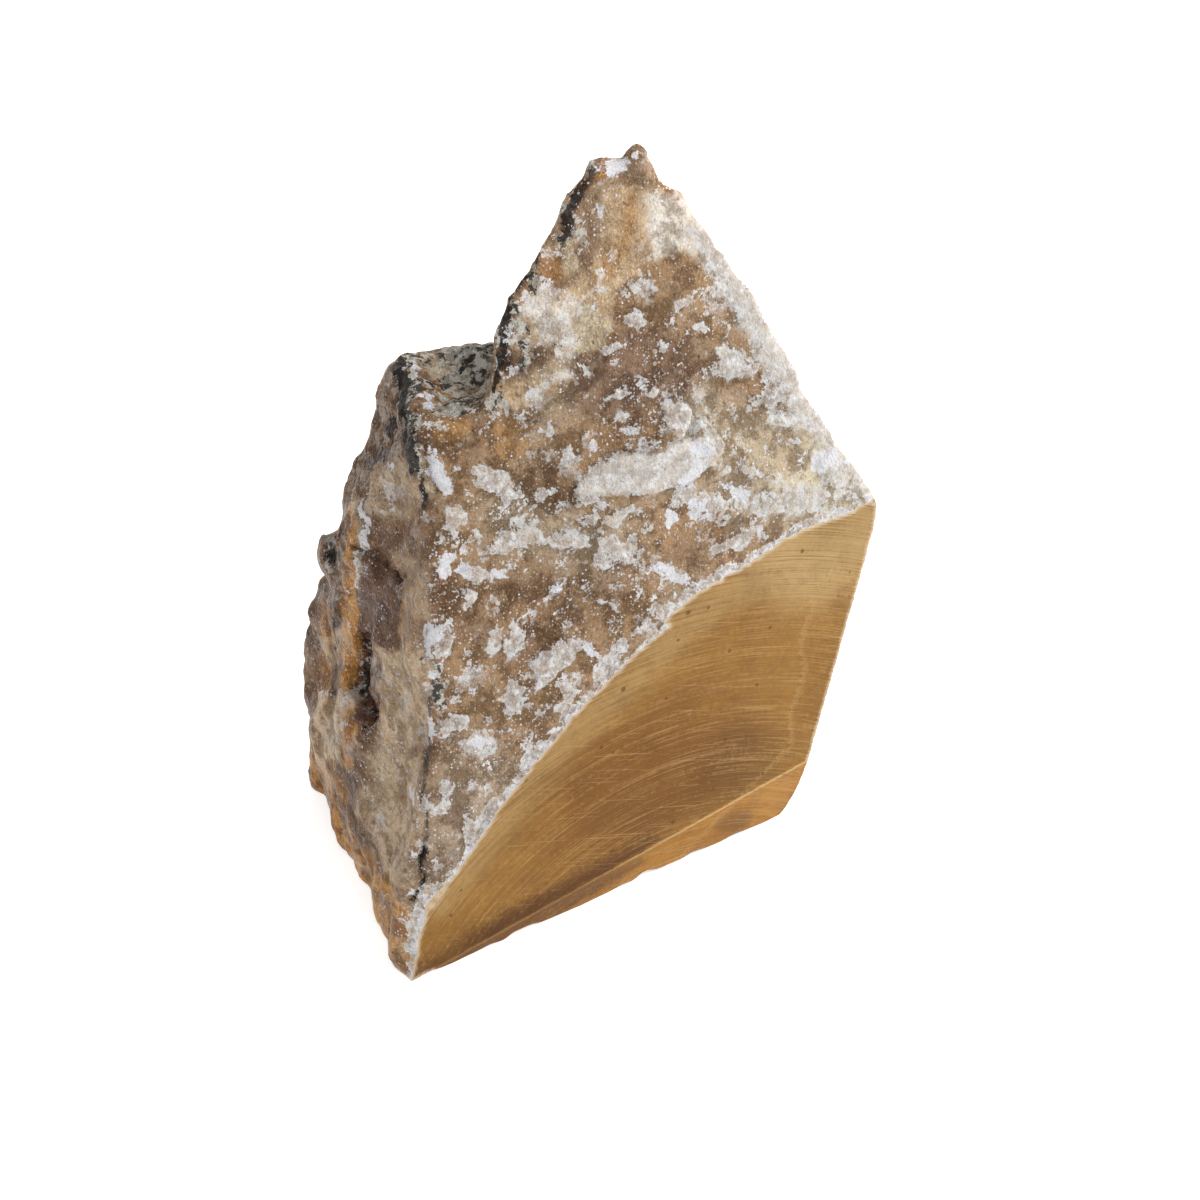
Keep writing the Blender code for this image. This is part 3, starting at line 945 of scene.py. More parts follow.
@dataclass(frozen=True)
class BrokenStone:
    """The finish of the broken and the weathered faces: translucent stone under flakes, specks, painted glints
    and crust.

    Lengths are in millimetres. A range is two colours that noise runs between, which the stone's tone is
    multiplied by. The light depth is how far light runs under the skin.
    """

    name: str = "broken_alabaster"
    milk: Colour = stone_colour(184, 164, 140)
    frost: Colour = stone_colour(255, 255, 255)
    frost_shade: Colour = stone_colour(222, 215, 208)
    white: Colour = stone_colour(250, 250, 255)
    fleck: Colour = stone_colour(222, 208, 190)
    # Black of the dark streaks, also used as painted shade in narrow cracks.
    soot_and_crack_shade: Colour = stone_colour(40, 31, 25)
    crust_dark: Colour = stone_colour(62, 56, 50)
    crust_grey: Colour = stone_colour(184, 178, 164)
    crust_pale: Colour = stone_colour(240, 234, 222)
    smoke: Colour = (0.52, 0.46, 0.42)
    cloud_range: tuple[Colour, Colour] = ((0.62, 0.57, 0.52), (1.24, 1.25, 1.26))
    streak_range: tuple[Colour, Colour] = ((0.66, 0.6, 0.52), (1.3, 1.32, 1.34))
    mottle_range: tuple[Colour, Colour] = ((0.55, 0.46, 0.38), (1.22, 1.2, 1.15))
    crust_warmth: Colour = (1.25, 1.2, 1.15)
    clouds: Waves = Waves(6.0, 4.0, 0.66, (31.0, 5.0, 12.0))
    crowd: Waves = Waves(8.0, 2.0, 0.6, (1.0, 17.0, 4.0))
    ragged: Waves = Waves(3.4, 5.0, 0.68)
    veil: Waves = Waves(2.2, 4.0, 0.7, (11.0, 2.0, 6.0))
    tear: Waves = Waves(1.8, 2.0, 0.66)
    tear_reach: float = 1.2
    streaks: Waves = Waves(1.3, 3.0, 0.65)
    streak_press: float = 0.16
    pits: Waves = Waves(1.1, 2.0, 0.65, (21.0, 7.0, 9.0))
    streak_and_crack_edge: Waves = Waves(2.2, 3.0, 0.68, (8.0, 3.0, 5.0))
    fine: Waves = Waves(0.7, 2.0, 0.65)
    middle: Waves = Waves(3.0, 3.0, 0.6, (7.0, 3.0, 1.0))
    facet: float = 1.3
    crust_edge: Waves = Waves(3.6, 5.0, 0.7, (5.0, 8.0, 13.0))
    crust_broad: Waves = Waves(4.0, 4.0, 0.7, (2.0, 6.0, 21.0))
    crust_fine: Waves = Waves(1.2, 4.0, 0.65, (9.0, 1.0, 3.0))
    rust: Waves = Waves(6.0, 3.0, 0.6, (14.0, 4.0, 8.0))
    crust_mottle: Waves = Waves(2.0, 3.0, 0.68, (6.0, 15.0, 3.0))
    crust_lump: float = 1.4
    flecks: Specks = Specks(0.62, 0.75, 0.42, (4.0, 1.0, 7.0))
    chips: Specks = Specks(2.0, 0.32, 0.34, (2.0, 6.0, 1.0))
    # Painted glints: white specks in the base colour.
    glints: Specks = Specks(0.7, 0.36, 0.44, (5.0, 5.0, 9.0))
    large_flakes: Flakes = Flakes(8.0, 0.3)
    small_flakes: Flakes = Flakes(3.0, 0.3, start=(9.0, 4.0, 7.0))
    relief_depth: float = 0.95
    crust_depth: float = 0.6
    light_depth: float = 5.0
    light_share: float = 0.4

    def build(self) -> bpy.types.Material:
        """Returns the material."""
        shading = Shading.named(self.name)
        place = shading.place()
        fresh = self.fresh(shading, place)
        edge = shading.waves(place, self.crust_edge) * 6.0
        crusted = (shading.stored("crust") + edge).stepped(-1.0, 1.0)
        return shading.finish(shading.blend(crusted, fresh, self.crust(shading, place)))

    def fresh(self, shading: Shading, place: Socket) -> Socket:
        """Returns the shader of the fresh stone."""
        patterns = Patterns(
            clouds=shading.waves(place, self.clouds),
            crowd=shading.waves(place, self.crowd),
            ragged=shading.waves(place, self.ragged),
            veil=shading.waves(place, self.veil),
            torn=shading.bent(place, self.tear, self.tear_reach),
            plain=shading.stored("stain") * -0.6 + 1.0,
        )
        rim = shading.stored("rim")
        frost = shading.stored("frost").larger(9.0 - rim * 4.0 + patterns.crowd * 6.0)
        stone = self.toned(shading, patterns)
        stone = self.specked(shading, place, patterns, frost, stone)
        cover, stone = self.frosted(shading, patterns, frost, stone)
        stone = self.dark_streaked_and_crack_shaded(shading, place, stone)
        bruise = shading.stored("bruise").larger(1.6 - rim * 3.0 + patterns.crowd * 1.2)
        crushed = (bruise + patterns.ragged * 3.2 + patterns.veil * 2.2).stepped(-0.3, 0.9)
        stone = shading.mixed(crushed * (patterns.veil * 0.1 + 0.9), stone, self.white)
        # Painted glints: small white specks in the base colour stand in for light glinting off crystal faces.
        glints = shading.specks(place, self.glints)
        stone = shading.mixed(glints * (patterns.crowd * 0.5 + 0.6), stone, self.white)
        return shading.surface(
            {
                "Base Color": stone,
                "Roughness": (cover * 0.24 + 0.3) - glints * 0.12,
                "Normal": self.relief(shading, place, patterns),
                "IOR": 1.52,
                "Specular IOR Level": 0.12,
                "Subsurface Weight": self.light_share,
                "Subsurface Radius": (1.0, 0.55, 0.3),
                "Subsurface Scale": self.light_depth * MILLIMETRE,
            }
        )

    def relief(self, shading: Shading, place: Socket, patterns: Patterns) -> Socket:
        """Returns the normal of the fresh stone, with fine relief, small facets and plates that stand up."""
        fine, middle = shading.waves(place, self.fine), shading.waves(place, self.middle)
        facets, _, _ = shading.grains(place, self.facet)
        raised = (shading.stored("frost") + patterns.ragged * 4.0).stepped(-0.3, 1.1)
        return shading.bump(middle * 0.6 + fine * 0.3 - facets * 0.4 + raised * 0.8, self.relief_depth)

    def toned(self, shading: Shading, patterns: Patterns) -> Socket:
        """Returns the colour of the bare stone: its stored tone with clouds, streaks and mottling."""
        stone = shading.mixed(patterns.clouds.stepped(-0.6, 0.6), *self.cloud_range)
        drawn_down = shading.vector("MULTIPLY", patterns.torn, (1.0, 1.0, self.streak_press))
        streaks = shading.waves(drawn_down.outputs["Vector"], self.streaks)
        streaked = shading.mixed(streaks.stepped(-0.6, 0.6), *self.streak_range)
        stone = shading.mixed(shading.stored("streak"), stone, streaked)
        blotches = (patterns.clouds + patterns.ragged * 0.4).stepped(-0.5, 0.6)
        mottled = shading.mixed(blotches, *self.mottle_range)
        stone = shading.mixed(shading.stored("stain") * 0.6, stone, mottled)
        return shading.mixed(1.0, shading.stored_colour("tint"), stone, "MULTIPLY")

    def specked(
        self, shading: Shading, place: Socket, patterns: Patterns, frost: Value, stone: Socket
    ) -> Socket:
        """Returns a colour with milky haze, pale flecks and chips, and smoky pits laid over it."""
        crowd, plain = patterns.crowd, patterns.plain
        haze = (frost * 0.06 + patterns.clouds * 0.4 - crowd * 0.5 + patterns.veil * 0.4).stepped(-0.3, 0.6)
        stone = shading.mixed(haze * plain * 0.34, stone, self.milk)
        flecks = shading.specks(place, self.flecks)
        stone = shading.mixed(flecks * plain * (crowd * 0.35 + 0.46), stone, self.fleck)
        chips = shading.specks(place, self.chips)
        stone = shading.mixed(chips * plain * (crowd * 0.3 + 0.55), stone, self.fleck)
        pits = (shading.waves(place, self.pits) - crowd * 0.3).stepped(0.35, 0.8)
        return shading.mixed(pits * 0.4, stone, self.smoke, "MULTIPLY")

    def frosted(
        self, shading: Shading, patterns: Patterns, frost: Value, stone: Socket
    ) -> tuple[Value, Socket]:
        """Lays frosted plates and strewn flakes over a colour.

        Args:
            shading: the nodes.
            patterns: the noise that the layers share.
            frost: how far each place is inside a plate.
            stone: the colour under them.

        Returns:
            The share of each place that they cover, and the new colour.
        """
        veil = patterns.veil
        edge = frost + patterns.ragged * 4.0 + veil * 1.6
        plates = edge.stepped(-0.3, 1.1) * (edge.stepped(5.0, 0.0) * 0.26 + veil * 0.22 + 0.64)
        large = shading.flakes(patterns.torn, self.large_flakes) * (veil * 0.25 + 0.68)
        small = shading.flakes(patterns.torn, self.small_flakes) * (patterns.crowd * 0.5 + 0.7)
        cover = plates.larger(large.larger(small) * patterns.plain)
        bright = (edge.stepped(4.0, 0.5) * 0.5 + veil * 0.5).stepped(-0.3, 0.7)
        return cover, shading.mixed(cover, stone, shading.mixed(bright, self.frost_shade, self.frost))

    def dark_streaked_and_crack_shaded(self, shading: Shading, place: Socket, colour: Socket) -> Socket:
        """Returns a colour with the dark streaks, and the painted shade in narrow cracks, laid over it."""
        edge = shading.waves(place, self.streak_and_crack_edge) * 3.5
        return shading.mixed((shading.stored("soot_and_crack_shade") + edge).stepped(-0.6, 1.2) * 0.92, colour, self.soot_and_crack_shade)

    def crust(self, shading: Shading, place: Socket) -> Socket:
        """Returns the shader of the weathered crust: grey, with black blotches, rust and pale grains."""
        broad, fine = shading.waves(place, self.crust_broad), shading.waves(place, self.crust_fine)
        stain = shading.stored("stain")
        calm = stain * -0.6 + 1.0
        colour = shading.mixed(1.0, shading.stored_colour("tint"), self.crust_warmth, "MULTIPLY")
        grey = (shading.waves(place, self.rust) - stain * 1.6).stepped(-0.5, 0.3)
        colour = shading.mixed(grey, colour, self.crust_grey)
        dark = (broad + fine * 0.6).stepped(0.06, 0.26)
        colour = shading.mixed(dark * calm * 0.92, colour, self.crust_dark)
        pale = (shading.waves(place, self.crust_mottle) - broad * 0.4 + fine * 0.3).stepped(0.12, 0.28)
        colour = shading.mixed(pale * calm * 0.9, colour, self.crust_pale)
        colour = self.dark_streaked_and_crack_shaded(shading, place, colour)
        lumps, _, _ = shading.grains(place, self.crust_lump)
        return shading.surface(
            {
                "Base Color": colour,
                "Roughness": (fine * 0.2 + 0.45).larger(0.25),
                "Normal": shading.bump(broad * 0.7 + fine * 0.5 - lumps * 0.8, self.crust_depth),
                "IOR": 1.5,
                "Specular IOR Level": 0.16,
            }
        )


@dataclass(frozen=True)
class SawnStone:
    """The finish of the sawn faces: honey-coloured stone under the arcs of the saw.

    Lengths are in millimetres. The planes are how far the cuts are from the origin. The disc's middle is
    given along the long cut and up it, from the foot corner. The arc radius turns an angle into a length
    along an arc, and the reach is how far grooves and bands are drawn out along it.
    """

    planes: dict[Cut, float]
    name: str = "sawn_alabaster"
    disc_middle: tuple[float, float] = (72.3, -49.2)
    arc_radius: float = 100.0
    groove: float = 0.28
    band: float = 1.7
    reach: float = 42.0
    scratch: float = 0.35
    scratch_reach: float = 18.0
    scratch_turn: tuple[float, float] = (0.94, 0.34)
    pale_line: Colour = stone_colour(198, 160, 102)
    # Painted highlight: the pale line on the edge between the two cuts.
    edge_highlight: Colour = stone_colour(222, 186, 128)
    rim_colour: Colour = stone_colour(232, 214, 184)
    cloud_range: tuple[Colour, Colour] = ((0.9, 0.88, 0.84), (1.08, 1.09, 1.12))
    fine: Waves = Waves(1.0, 2.0, 0.7)
    broad: Waves = Waves(1.0, 2.0, 0.6)
    crossing: Waves = Waves(1.0, 0.0)
    clouds: Waves = Waves(17.0, 3.0, start=(4.0, 9.0, 2.0))
    stains: Waves = Waves(7.0, 5.0, 0.65, (3.0, 12.0, 7.0))
    patches: Waves = Waves(12.0, 2.0, start=(8.0, 1.0, 5.0))
    mottle: Waves = Waves(1.2, 5.0, 0.7, (1.0, 5.0, 2.0))
    pits: Specks = Specks(2.6, 0.1, 0.28, (2.0, 7.0, 5.0))
    relief_depth: float = 0.12
    light_depth: float = 4.0
    light_share: float = 0.25

    def build(self, foot_corner: np.ndarray) -> bpy.types.Material:
        """Makes the material.

        Args:
            foot_corner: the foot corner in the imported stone's frame, in millimetres.

        Returns:
            The material.
        """
        shading = Shading.named(self.name)
        place = shading.place()
        level, upward = self.axes()
        beside = shading.along(place, level) - (float(foot_corner @ level) + self.disc_middle[0])
        above = shading.along(place, upward) - (float(foot_corner @ upward) + self.disc_middle[1])
        radius, turn = (beside * beside + above * above).root(), beside.turn(above)
        fine = shading.waves(self.swept(shading, radius, turn, self.groove), self.fine)
        bands = shading.waves(self.swept(shading, radius, turn, self.band), self.broad)
        mottle = shading.waves(place, self.mottle)
        patchy = shading.waves(place, self.patches).stepped(-0.8, 0.6)
        lines = (fine * 1.2 + bands * 0.3) * (patchy * 0.6 + 0.4) + mottle * 0.35
        colour = self.lined(shading, place, lines)
        crossed = self.crossed(shading, place, level, upward)
        scratches = shading.waves(crossed, self.crossing).stepped(0.7, 0.86)
        colour = shading.mixed(scratches * 0.4, colour, self.pale_line)
        vein = shading.stored("vein") + mottle * 3.0
        colour = shading.mixed((vein * vein).stepped(7.0, 1.0) * 0.3, colour, self.pale_line)
        colour = shading.mixed(shading.specks(place, self.pits) * 0.7, colour, Tone.BROWN_TAN)
        colour = self.edged(shading, place, colour, beside, mottle)
        pale_rim = (shading.stored("rim") * -1.0 + 1.3 + fine * 0.3).stepped(0.0, 1.2)
        colour = shading.mixed(pale_rim * 0.6, colour, self.rim_colour)
        shader = shading.surface(
            {
                "Base Color": colour,
                "Roughness": lines * 0.1 + 0.42,
                "Normal": shading.bump(fine * 0.5 + bands * 0.3, self.relief_depth),
                "IOR": 1.52,
                "Specular IOR Level": 0.1,
                "Subsurface Weight": self.light_share,
                "Subsurface Radius": (1.0, 0.5, 0.22),
                "Subsurface Scale": self.light_depth * MILLIMETRE,
            }
        )
        return shading.finish(shader)

    @staticmethod
    def axes() -> tuple[np.ndarray, np.ndarray]:
        """Returns the level direction to the right along the long cut, and the direction up it."""
        normal = np.array(Cut.LONG.value)
        level = np.cross((0.0, 0.0, 1.0), normal)
        level /= np.linalg.norm(level)
        return level, np.cross(normal, level)

    def lined(self, shading: Shading, place: Socket, lines: Value) -> Socket:
        """Returns the stored tone with soft clouds, stains and the saw's pale and dark lines."""
        clouds = shading.waves(place, self.clouds) * 0.5 + 0.5
        colour = shading.mixed(clouds.stepped(0.0, 1.0), *self.cloud_range)
        colour = shading.mixed(1.0, shading.stored_colour("tint"), colour, "MULTIPLY")
        stains = shading.waves(place, self.stains).stepped(0.15, 0.7)
        colour = shading.mixed(stains * 0.14, colour, Tone.BROWN_TAN)
        colour = shading.mixed(lines.stepped(0.0, 1.0) * 0.42, colour, self.pale_line)
        return shading.mixed((lines * -1.0).stepped(0.0, 1.0) * 0.5, colour, Tone.DEEP_TAN)

    def edged(self, shading: Shading, place: Socket, colour: Socket, beside: Value, mottle: Value) -> Socket:
        """Returns a colour with painted shade in a dark band and a painted highlight in a pale line along the
        edge between the two cuts.
        """
        off_edge = self.off_plane(shading, place, Cut.LONG) + self.off_plane(shading, place, Cut.SHORT)
        # Painted shade: a dark band along the edge between the two cuts, on its left part near the floor.
        painted_shade_band = (off_edge + mottle * 0.3).stepped(1.7, 0.2) * beside.stepped(6.0, -26.0)
        colour = shading.mixed(painted_shade_band * 0.75, colour, Tone.BROWN_TAN)
        # Painted highlight: a pale line on the edge between the two cuts, as if light caught it.
        edge_highlight_share = (off_edge + mottle * 0.04).stepped(0.12, 0.03) * (beside.stepped(-30.0, 20.0) * 0.5 + 0.2)
        return shading.mixed(edge_highlight_share, colour, self.edge_highlight)

    def off_plane(self, shading: Shading, place: Socket, cut: Cut) -> Value:
        """Returns how far a place lies behind a sawn plane."""
        return self.planes[cut] - shading.along(place, cut.value)

    def crossed(self, shading: Shading, place: Socket, level: np.ndarray, upward: np.ndarray) -> Socket:
        """Returns a place in which a scratch across the arcs is one unit wide."""
        cosine, sine = self.scratch_turn
        across = shading.along(place, level) * cosine - shading.along(place, upward) * sine
        ahead = shading.along(place, level) * sine + shading.along(place, upward) * cosine
        parts = {"X": across * (1.0 / self.scratch_reach), "Y": ahead * (1.0 / self.scratch), "Z": 3.5}
        return shading.node("ShaderNodeCombineXYZ", {}, parts).outputs["Vector"]

    def swept(self, shading: Shading, radius: Value, turn: Value, width: float) -> Socket:
        """Returns a place drawn out along the arcs, in which a groove is one unit wide."""
        parts = {"X": radius * (1.0 / width), "Y": turn * (self.arc_radius / self.reach), "Z": 0.5}
        return shading.node("ShaderNodeCombineXYZ", {}, parts).outputs["Vector"]


@dataclass
class AlabasterStone:
    """The stone itself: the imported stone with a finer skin.

    Lengths are in millimetres. What lies across the photograph is in its pixels: a chip's length, the nick's
    place and reach, and the band beside the rim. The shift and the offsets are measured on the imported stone.
    """

    view: PhotoView
    node: str = "alabaster_block"
    name: str = "alabaster_stone"
    voxel: float = 0.88
    crease_passes: int = 5
    flat_reach: float = 0.02
    overcut: float = 2.4
    sawn_cell: float = 1.6
    chip_depth: float = 1.1
    chip_length: float = 34.0
    nick_depth: float = 1.6
    nick_reach: float = 9.0
    nick_place: float = 649.0
    rim_lean: float = 0.8
    rim_step: float = 0.03
    rim_slope: float = 0.03
    rim_band: float = 45.0
    rim_depth: float = 3.0
    rim_passes: int = 4
    rim_reach: float = 20.0
    touch: float = 0.01
    sharp_angle: float = 0.1
    shift: np.ndarray = field(default_factory=lambda: np.zeros(3))
    offsets: dict[Cut, float] = field(default_factory=dict)

    def build(self) -> bpy.types.Object:
        """Builds and dresses the stone.

        Returns:
            The finished object.
        """
        packed = self.packed_skin()
        skin = self.fine_skin(packed)
        self.work_relief(skin)
        stone = self.sawn(skin)
        stone.materials.append(BrokenStone().build())
        foot_corner = np.array(self.view.foot_corner) + self.shift
        planes = {cut: self.offsets[cut] + float(self.shift @ np.array(cut.value)) for cut in Cut}
        stone.materials.append(SawnStone(planes).build(foot_corner))
        piece = bpy.data.objects.new(self.name, stone)
        bpy.context.scene.collection.objects.link(piece)
        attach(piece, "root")
        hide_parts(self.node)
        return piece

    def packed_skin(self) -> bpy.types.Mesh:
        """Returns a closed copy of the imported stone, in the photograph's frame."""
        mesh = bmesh.new()
        mesh.from_mesh(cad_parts[self.node].data)
        bmesh.ops.scale(mesh, verts=mesh.verts, vec=(METRE, METRE, METRE))
        bmesh.ops.remove_doubles(mesh, verts=mesh.verts, dist=0.001)
        points = np.array([vertex.co for vertex in mesh.verts])
        self.shift = self.foot_corner(points) - np.array(self.view.foot_corner)
        points -= self.shift
        self.offsets = {cut: float(np.max(points @ np.array(cut.value))) for cut in Cut}
        bmesh.ops.translate(mesh, verts=mesh.verts, vec=Vector(-self.shift))
        skin = bpy.data.meshes.new("packed_skin")
        mesh.to_mesh(skin)
        mesh.free()
        return skin

    @staticmethod
    def foot_corner(points: np.ndarray) -> np.ndarray:
        """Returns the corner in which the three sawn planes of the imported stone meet."""
        normals = np.array([cut.value for cut in Cut])
        return np.linalg.solve(normals, np.max(points @ normals.T, axis=0))

    def fine_skin(self, packed: bpy.types.Mesh) -> bpy.types.Mesh:
        """Returns the stone's skin as an even net of small faces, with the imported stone's creases smoothed.

        The sawn faces stand proud of their planes here, so that the saw meets the skin in one clean line.
        """
        carrier = bpy.data.objects.new("carrier", packed)
        bpy.context.scene.collection.objects.link(carrier)
        remesh = carrier.modifiers.new("net", "REMESH")
        remesh.mode = "VOXEL"
        remesh.voxel_size = self.voxel
        shaped = carrier.evaluated_get(bpy.context.evaluated_depsgraph_get())
        skin = bpy.data.meshes.new_from_object(shaped)
        bpy.data.objects.remove(carrier)
        nearest, kinds = self.packed_faces(packed)
        mesh = bmesh.new()
        mesh.from_mesh(skin)
        sawn, rough = [], []
        for vertex in mesh.verts:
            cut = kinds[nearest.find_nearest(vertex.co)[2]]
            if cut:
                sawn.append((vertex, cut))
            else:
                rough.append(vertex)
        for _ in range(self.crease_passes):
            bmesh.ops.smooth_vert(
                mesh, verts=rough, factor=0.5, use_axis_x=True, use_axis_y=True, use_axis_z=True
            )
        for vertex, cut in sawn:
            vertex.co += self.overcut * Vector(cut.value)
        mesh.normal_update()
        self.set_rim(mesh)
        self.chip_foot(mesh)
        mesh.to_mesh(skin)
        mesh.free()
        return skin

    def chip_foot(self, mesh: bmesh.types.BMesh) -> None:
        """Breaks chips and one nick out of the lower edge of the short cut, by drawing the skin in there."""
        short, base = np.array(Cut.SHORT.value), np.array(Cut.BASE.value)
        points = np.array([vertex.co for vertex in mesh.verts])
        right, _ = self.view.pixels(points)
        along = np.stack((right, np.zeros_like(right), np.zeros_like(right)), axis=1)
        chips = self.chip_depth * step_up(-0.1, 0.5, soft_noise(along, self.chip_length, 2.0))
        chips += 0.5 * self.chip_depth * step_up(0.0, 0.5, soft_noise(along, self.chip_length / 3.0, 5.0))
        off_nick = np.abs(right - self.nick_place)
        chips += self.nick_depth * step_up(self.nick_reach, 0.5 * self.nick_reach, off_nick)
        behind = self.offsets[Cut.SHORT] - points @ short + self.offsets[Cut.BASE] - points @ base
        for vertex, back in zip(mesh.verts, (chips - behind) / 2.0):
            if back > 0.0:
                vertex.co -= Vector((short + base) * back)

    def set_rim(self, mesh: bmesh.types.BMesh) -> None:
        """Moves the skin beside the rim of the long cut, so that the saw meets it on the photo's line."""
        normal = np.array(Cut.LONG.value)
        vertices = [vertex for vertex in mesh.verts if vertex.normal.dot(Vector(normal)) > self.rim_lean]
        points = np.array([vertex.co for vertex in vertices])
        above = above_rim(*self.view.pixels(points))
        behind = self.offsets[Cut.LONG] - points @ normal
        needed = np.where(above > 0.0, self.rim_step + self.rim_slope * above, -self.overcut)
        wrong = np.where(above > 0.0, behind < needed, behind > needed)
        wrong &= (np.abs(above) < self.rim_band) & (behind < self.rim_depth)
        for vertex, back, off in zip(vertices, needed - behind, wrong):
            if off:
                vertex.co -= Vector(normal * back)

    def packed_faces(self, packed: bpy.types.Mesh) -> tuple[bvhtree.BVHTree, list[Cut | None]]:
        """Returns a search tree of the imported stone's faces, and the cut that each lies in, if any."""
        mesh = bmesh.new()
        mesh.from_mesh(packed)
        tree = bvhtree.BVHTree.FromBMesh(mesh)
        kinds = []
        for face in mesh.faces:
            corners = [vertex.co for vertex in face.verts]
            kinds.append(next((cut for cut in Cut if self.off_cut(corners, cut) < self.flat_reach), None))
        mesh.free()
        return tree, kinds

    def off_cut(self, corners: Iterable[Vector], cut: Cut) -> float:
        """Returns how far the farthest of some corners is from the plane of a cut."""
        return max(abs(corner.dot(Vector(cut.value)) - self.offsets[cut]) for corner in corners)

    def work_relief(self, skin: bpy.types.Mesh) -> None:
        """Moves the skin's points to make its relief, and stores on the mesh what the finishes need."""
        points = np.empty(len(skin.vertices) * 3)
        normals = np.empty(len(skin.vertices) * 3)
        skin.vertices.foreach_get("co", points)
        skin.vertex_normals.foreach_get("vector", normals)
        points, normals = points.reshape(-1, 3), normals.reshape(-1, 3)
        relief = Relief(self.view, points, normals, self.offsets)
        moved = points + normals * relief.height()[:, None]
        skin.vertices.foreach_set("co", moved.ravel())
        for name, values in relief.fields().items():
            skin.attributes.new(name, "FLOAT", "POINT").data.foreach_set("value", values)
        tints = skin.attributes.new("tint", "FLOAT_VECTOR", "POINT")
        tints.data.foreach_set("vector", relief.tints().ravel())

    def sawn(self, skin: bpy.types.Mesh) -> bpy.types.Mesh:
        """Cuts the skin along the sawn planes and returns the finished mesh, in metres."""
        mesh = bmesh.new()
        mesh.from_mesh(skin)
        for face in mesh.faces:
            face.smooth = True
        rim_layer = mesh.verts.layers.float.new("rim")
        for faces in [self.cut_plane(mesh, cut) for cut in Cut]:
            self.even_rim(faces)
        self.grid(mesh)
        bmesh.ops.triangulate(mesh, faces=[face for face in mesh.faces if face.material_index == 1])
        mesh.normal_update()
        self.store_sawn(mesh, rim_layer)
        for edge in mesh.edges:
            kinds = {face.material_index for face in edge.link_faces}
            sharp = len(kinds) == 2 or (kinds == {1} and edge.calc_face_angle(0.0) > self.sharp_angle)
            edge.smooth = not sharp
        bmesh.ops.translate(mesh, verts=mesh.verts, vec=Vector(self.shift))
        bmesh.ops.scale(mesh, verts=mesh.verts, vec=(MILLIMETRE, MILLIMETRE, MILLIMETRE))
        stone = bpy.data.meshes.new(self.name)
        mesh.to_mesh(stone)
        mesh.free()
        return stone

    def cut_plane(self, mesh: bmesh.types.BMesh, cut: Cut) -> list[bmesh.types.BMFace]:
        """Saws off what stands in front of a plane and closes the cut.

        Returns:
            The new flat faces.
        """
        normal = Vector(cut.value)
        everything = mesh.verts[:] + mesh.edges[:] + mesh.faces[:]
        result = bmesh.ops.bisect_plane(
            mesh,
            geom=everything,
            dist=0.0001,
            plane_co=normal * self.offsets[cut],
            plane_no=normal,
            clear_outer=True,
        )
        rim = [part for part in result["geom_cut"] if isinstance(part, bmesh.types.BMEdge)]
        faces = bmesh.ops.edgenet_fill(mesh, edges=rim)["faces"]
        for face in faces:
            face.material_index = 1
            face.smooth = False
            if face.normal.dot(normal) < 0.0:
                face.normal_flip()
        return faces

    def even_rim(self, faces: list[bmesh.types.BMFace]) -> None:
        """Smooths the rim of a flat face along its line, without moving it off its plane."""
        for face in faces:
            if not face.is_valid:
                continue
            rim = list(face.verts)
            corners = {vertex for vertex in rim if sum(f.material_index == 1 for f in vertex.link_faces) > 1}
            for _ in range(self.rim_passes):
                places = [vertex.co.copy() for vertex in rim]
                for spot, vertex in enumerate(rim):
                    if vertex in corners:
                        continue
                    beside = (places[spot - 1] + places[(spot + 1) % len(rim)]) / 2.0
                    vertex.co = places[spot].lerp(beside, 0.5)

    def grid(self, mesh: bmesh.types.BMesh) -> None:
        """Divides the flat faces into small cells, which carry the tones."""
        low = np.min([vertex.co for vertex in mesh.verts], axis=0)
        high = np.max([vertex.co for vertex in mesh.verts], axis=0)
        for axis in range(3):
            for place in np.arange(low[axis] + self.sawn_cell / 2.0, high[axis], self.sawn_cell):
                point, normal = Vector((0.0, 0.0, 0.0)), Vector((0.0, 0.0, 0.0))
                point[axis], normal[axis] = place, 1.0
                sawn_faces = [face for face in mesh.faces if face.material_index == 1]
                faces = [face for face in sawn_faces if self.crosses(face, axis, place)]
                edges = {edge for face in faces for edge in face.edges}
                corners = {vertex for face in faces for vertex in face.verts}
                bmesh.ops.bisect_plane(
                    mesh, geom=[*corners, *edges, *faces], dist=0.01, plane_co=point, plane_no=normal
                )

    @staticmethod
    def crosses(face: bmesh.types.BMFace, axis: int, place: float) -> bool:
        """Tells whether a face lies on both sides of a place on an axis."""
        along = [vertex.co[axis] for vertex in face.verts]
        return min(along) < place - 0.05 and max(along) > place + 0.05

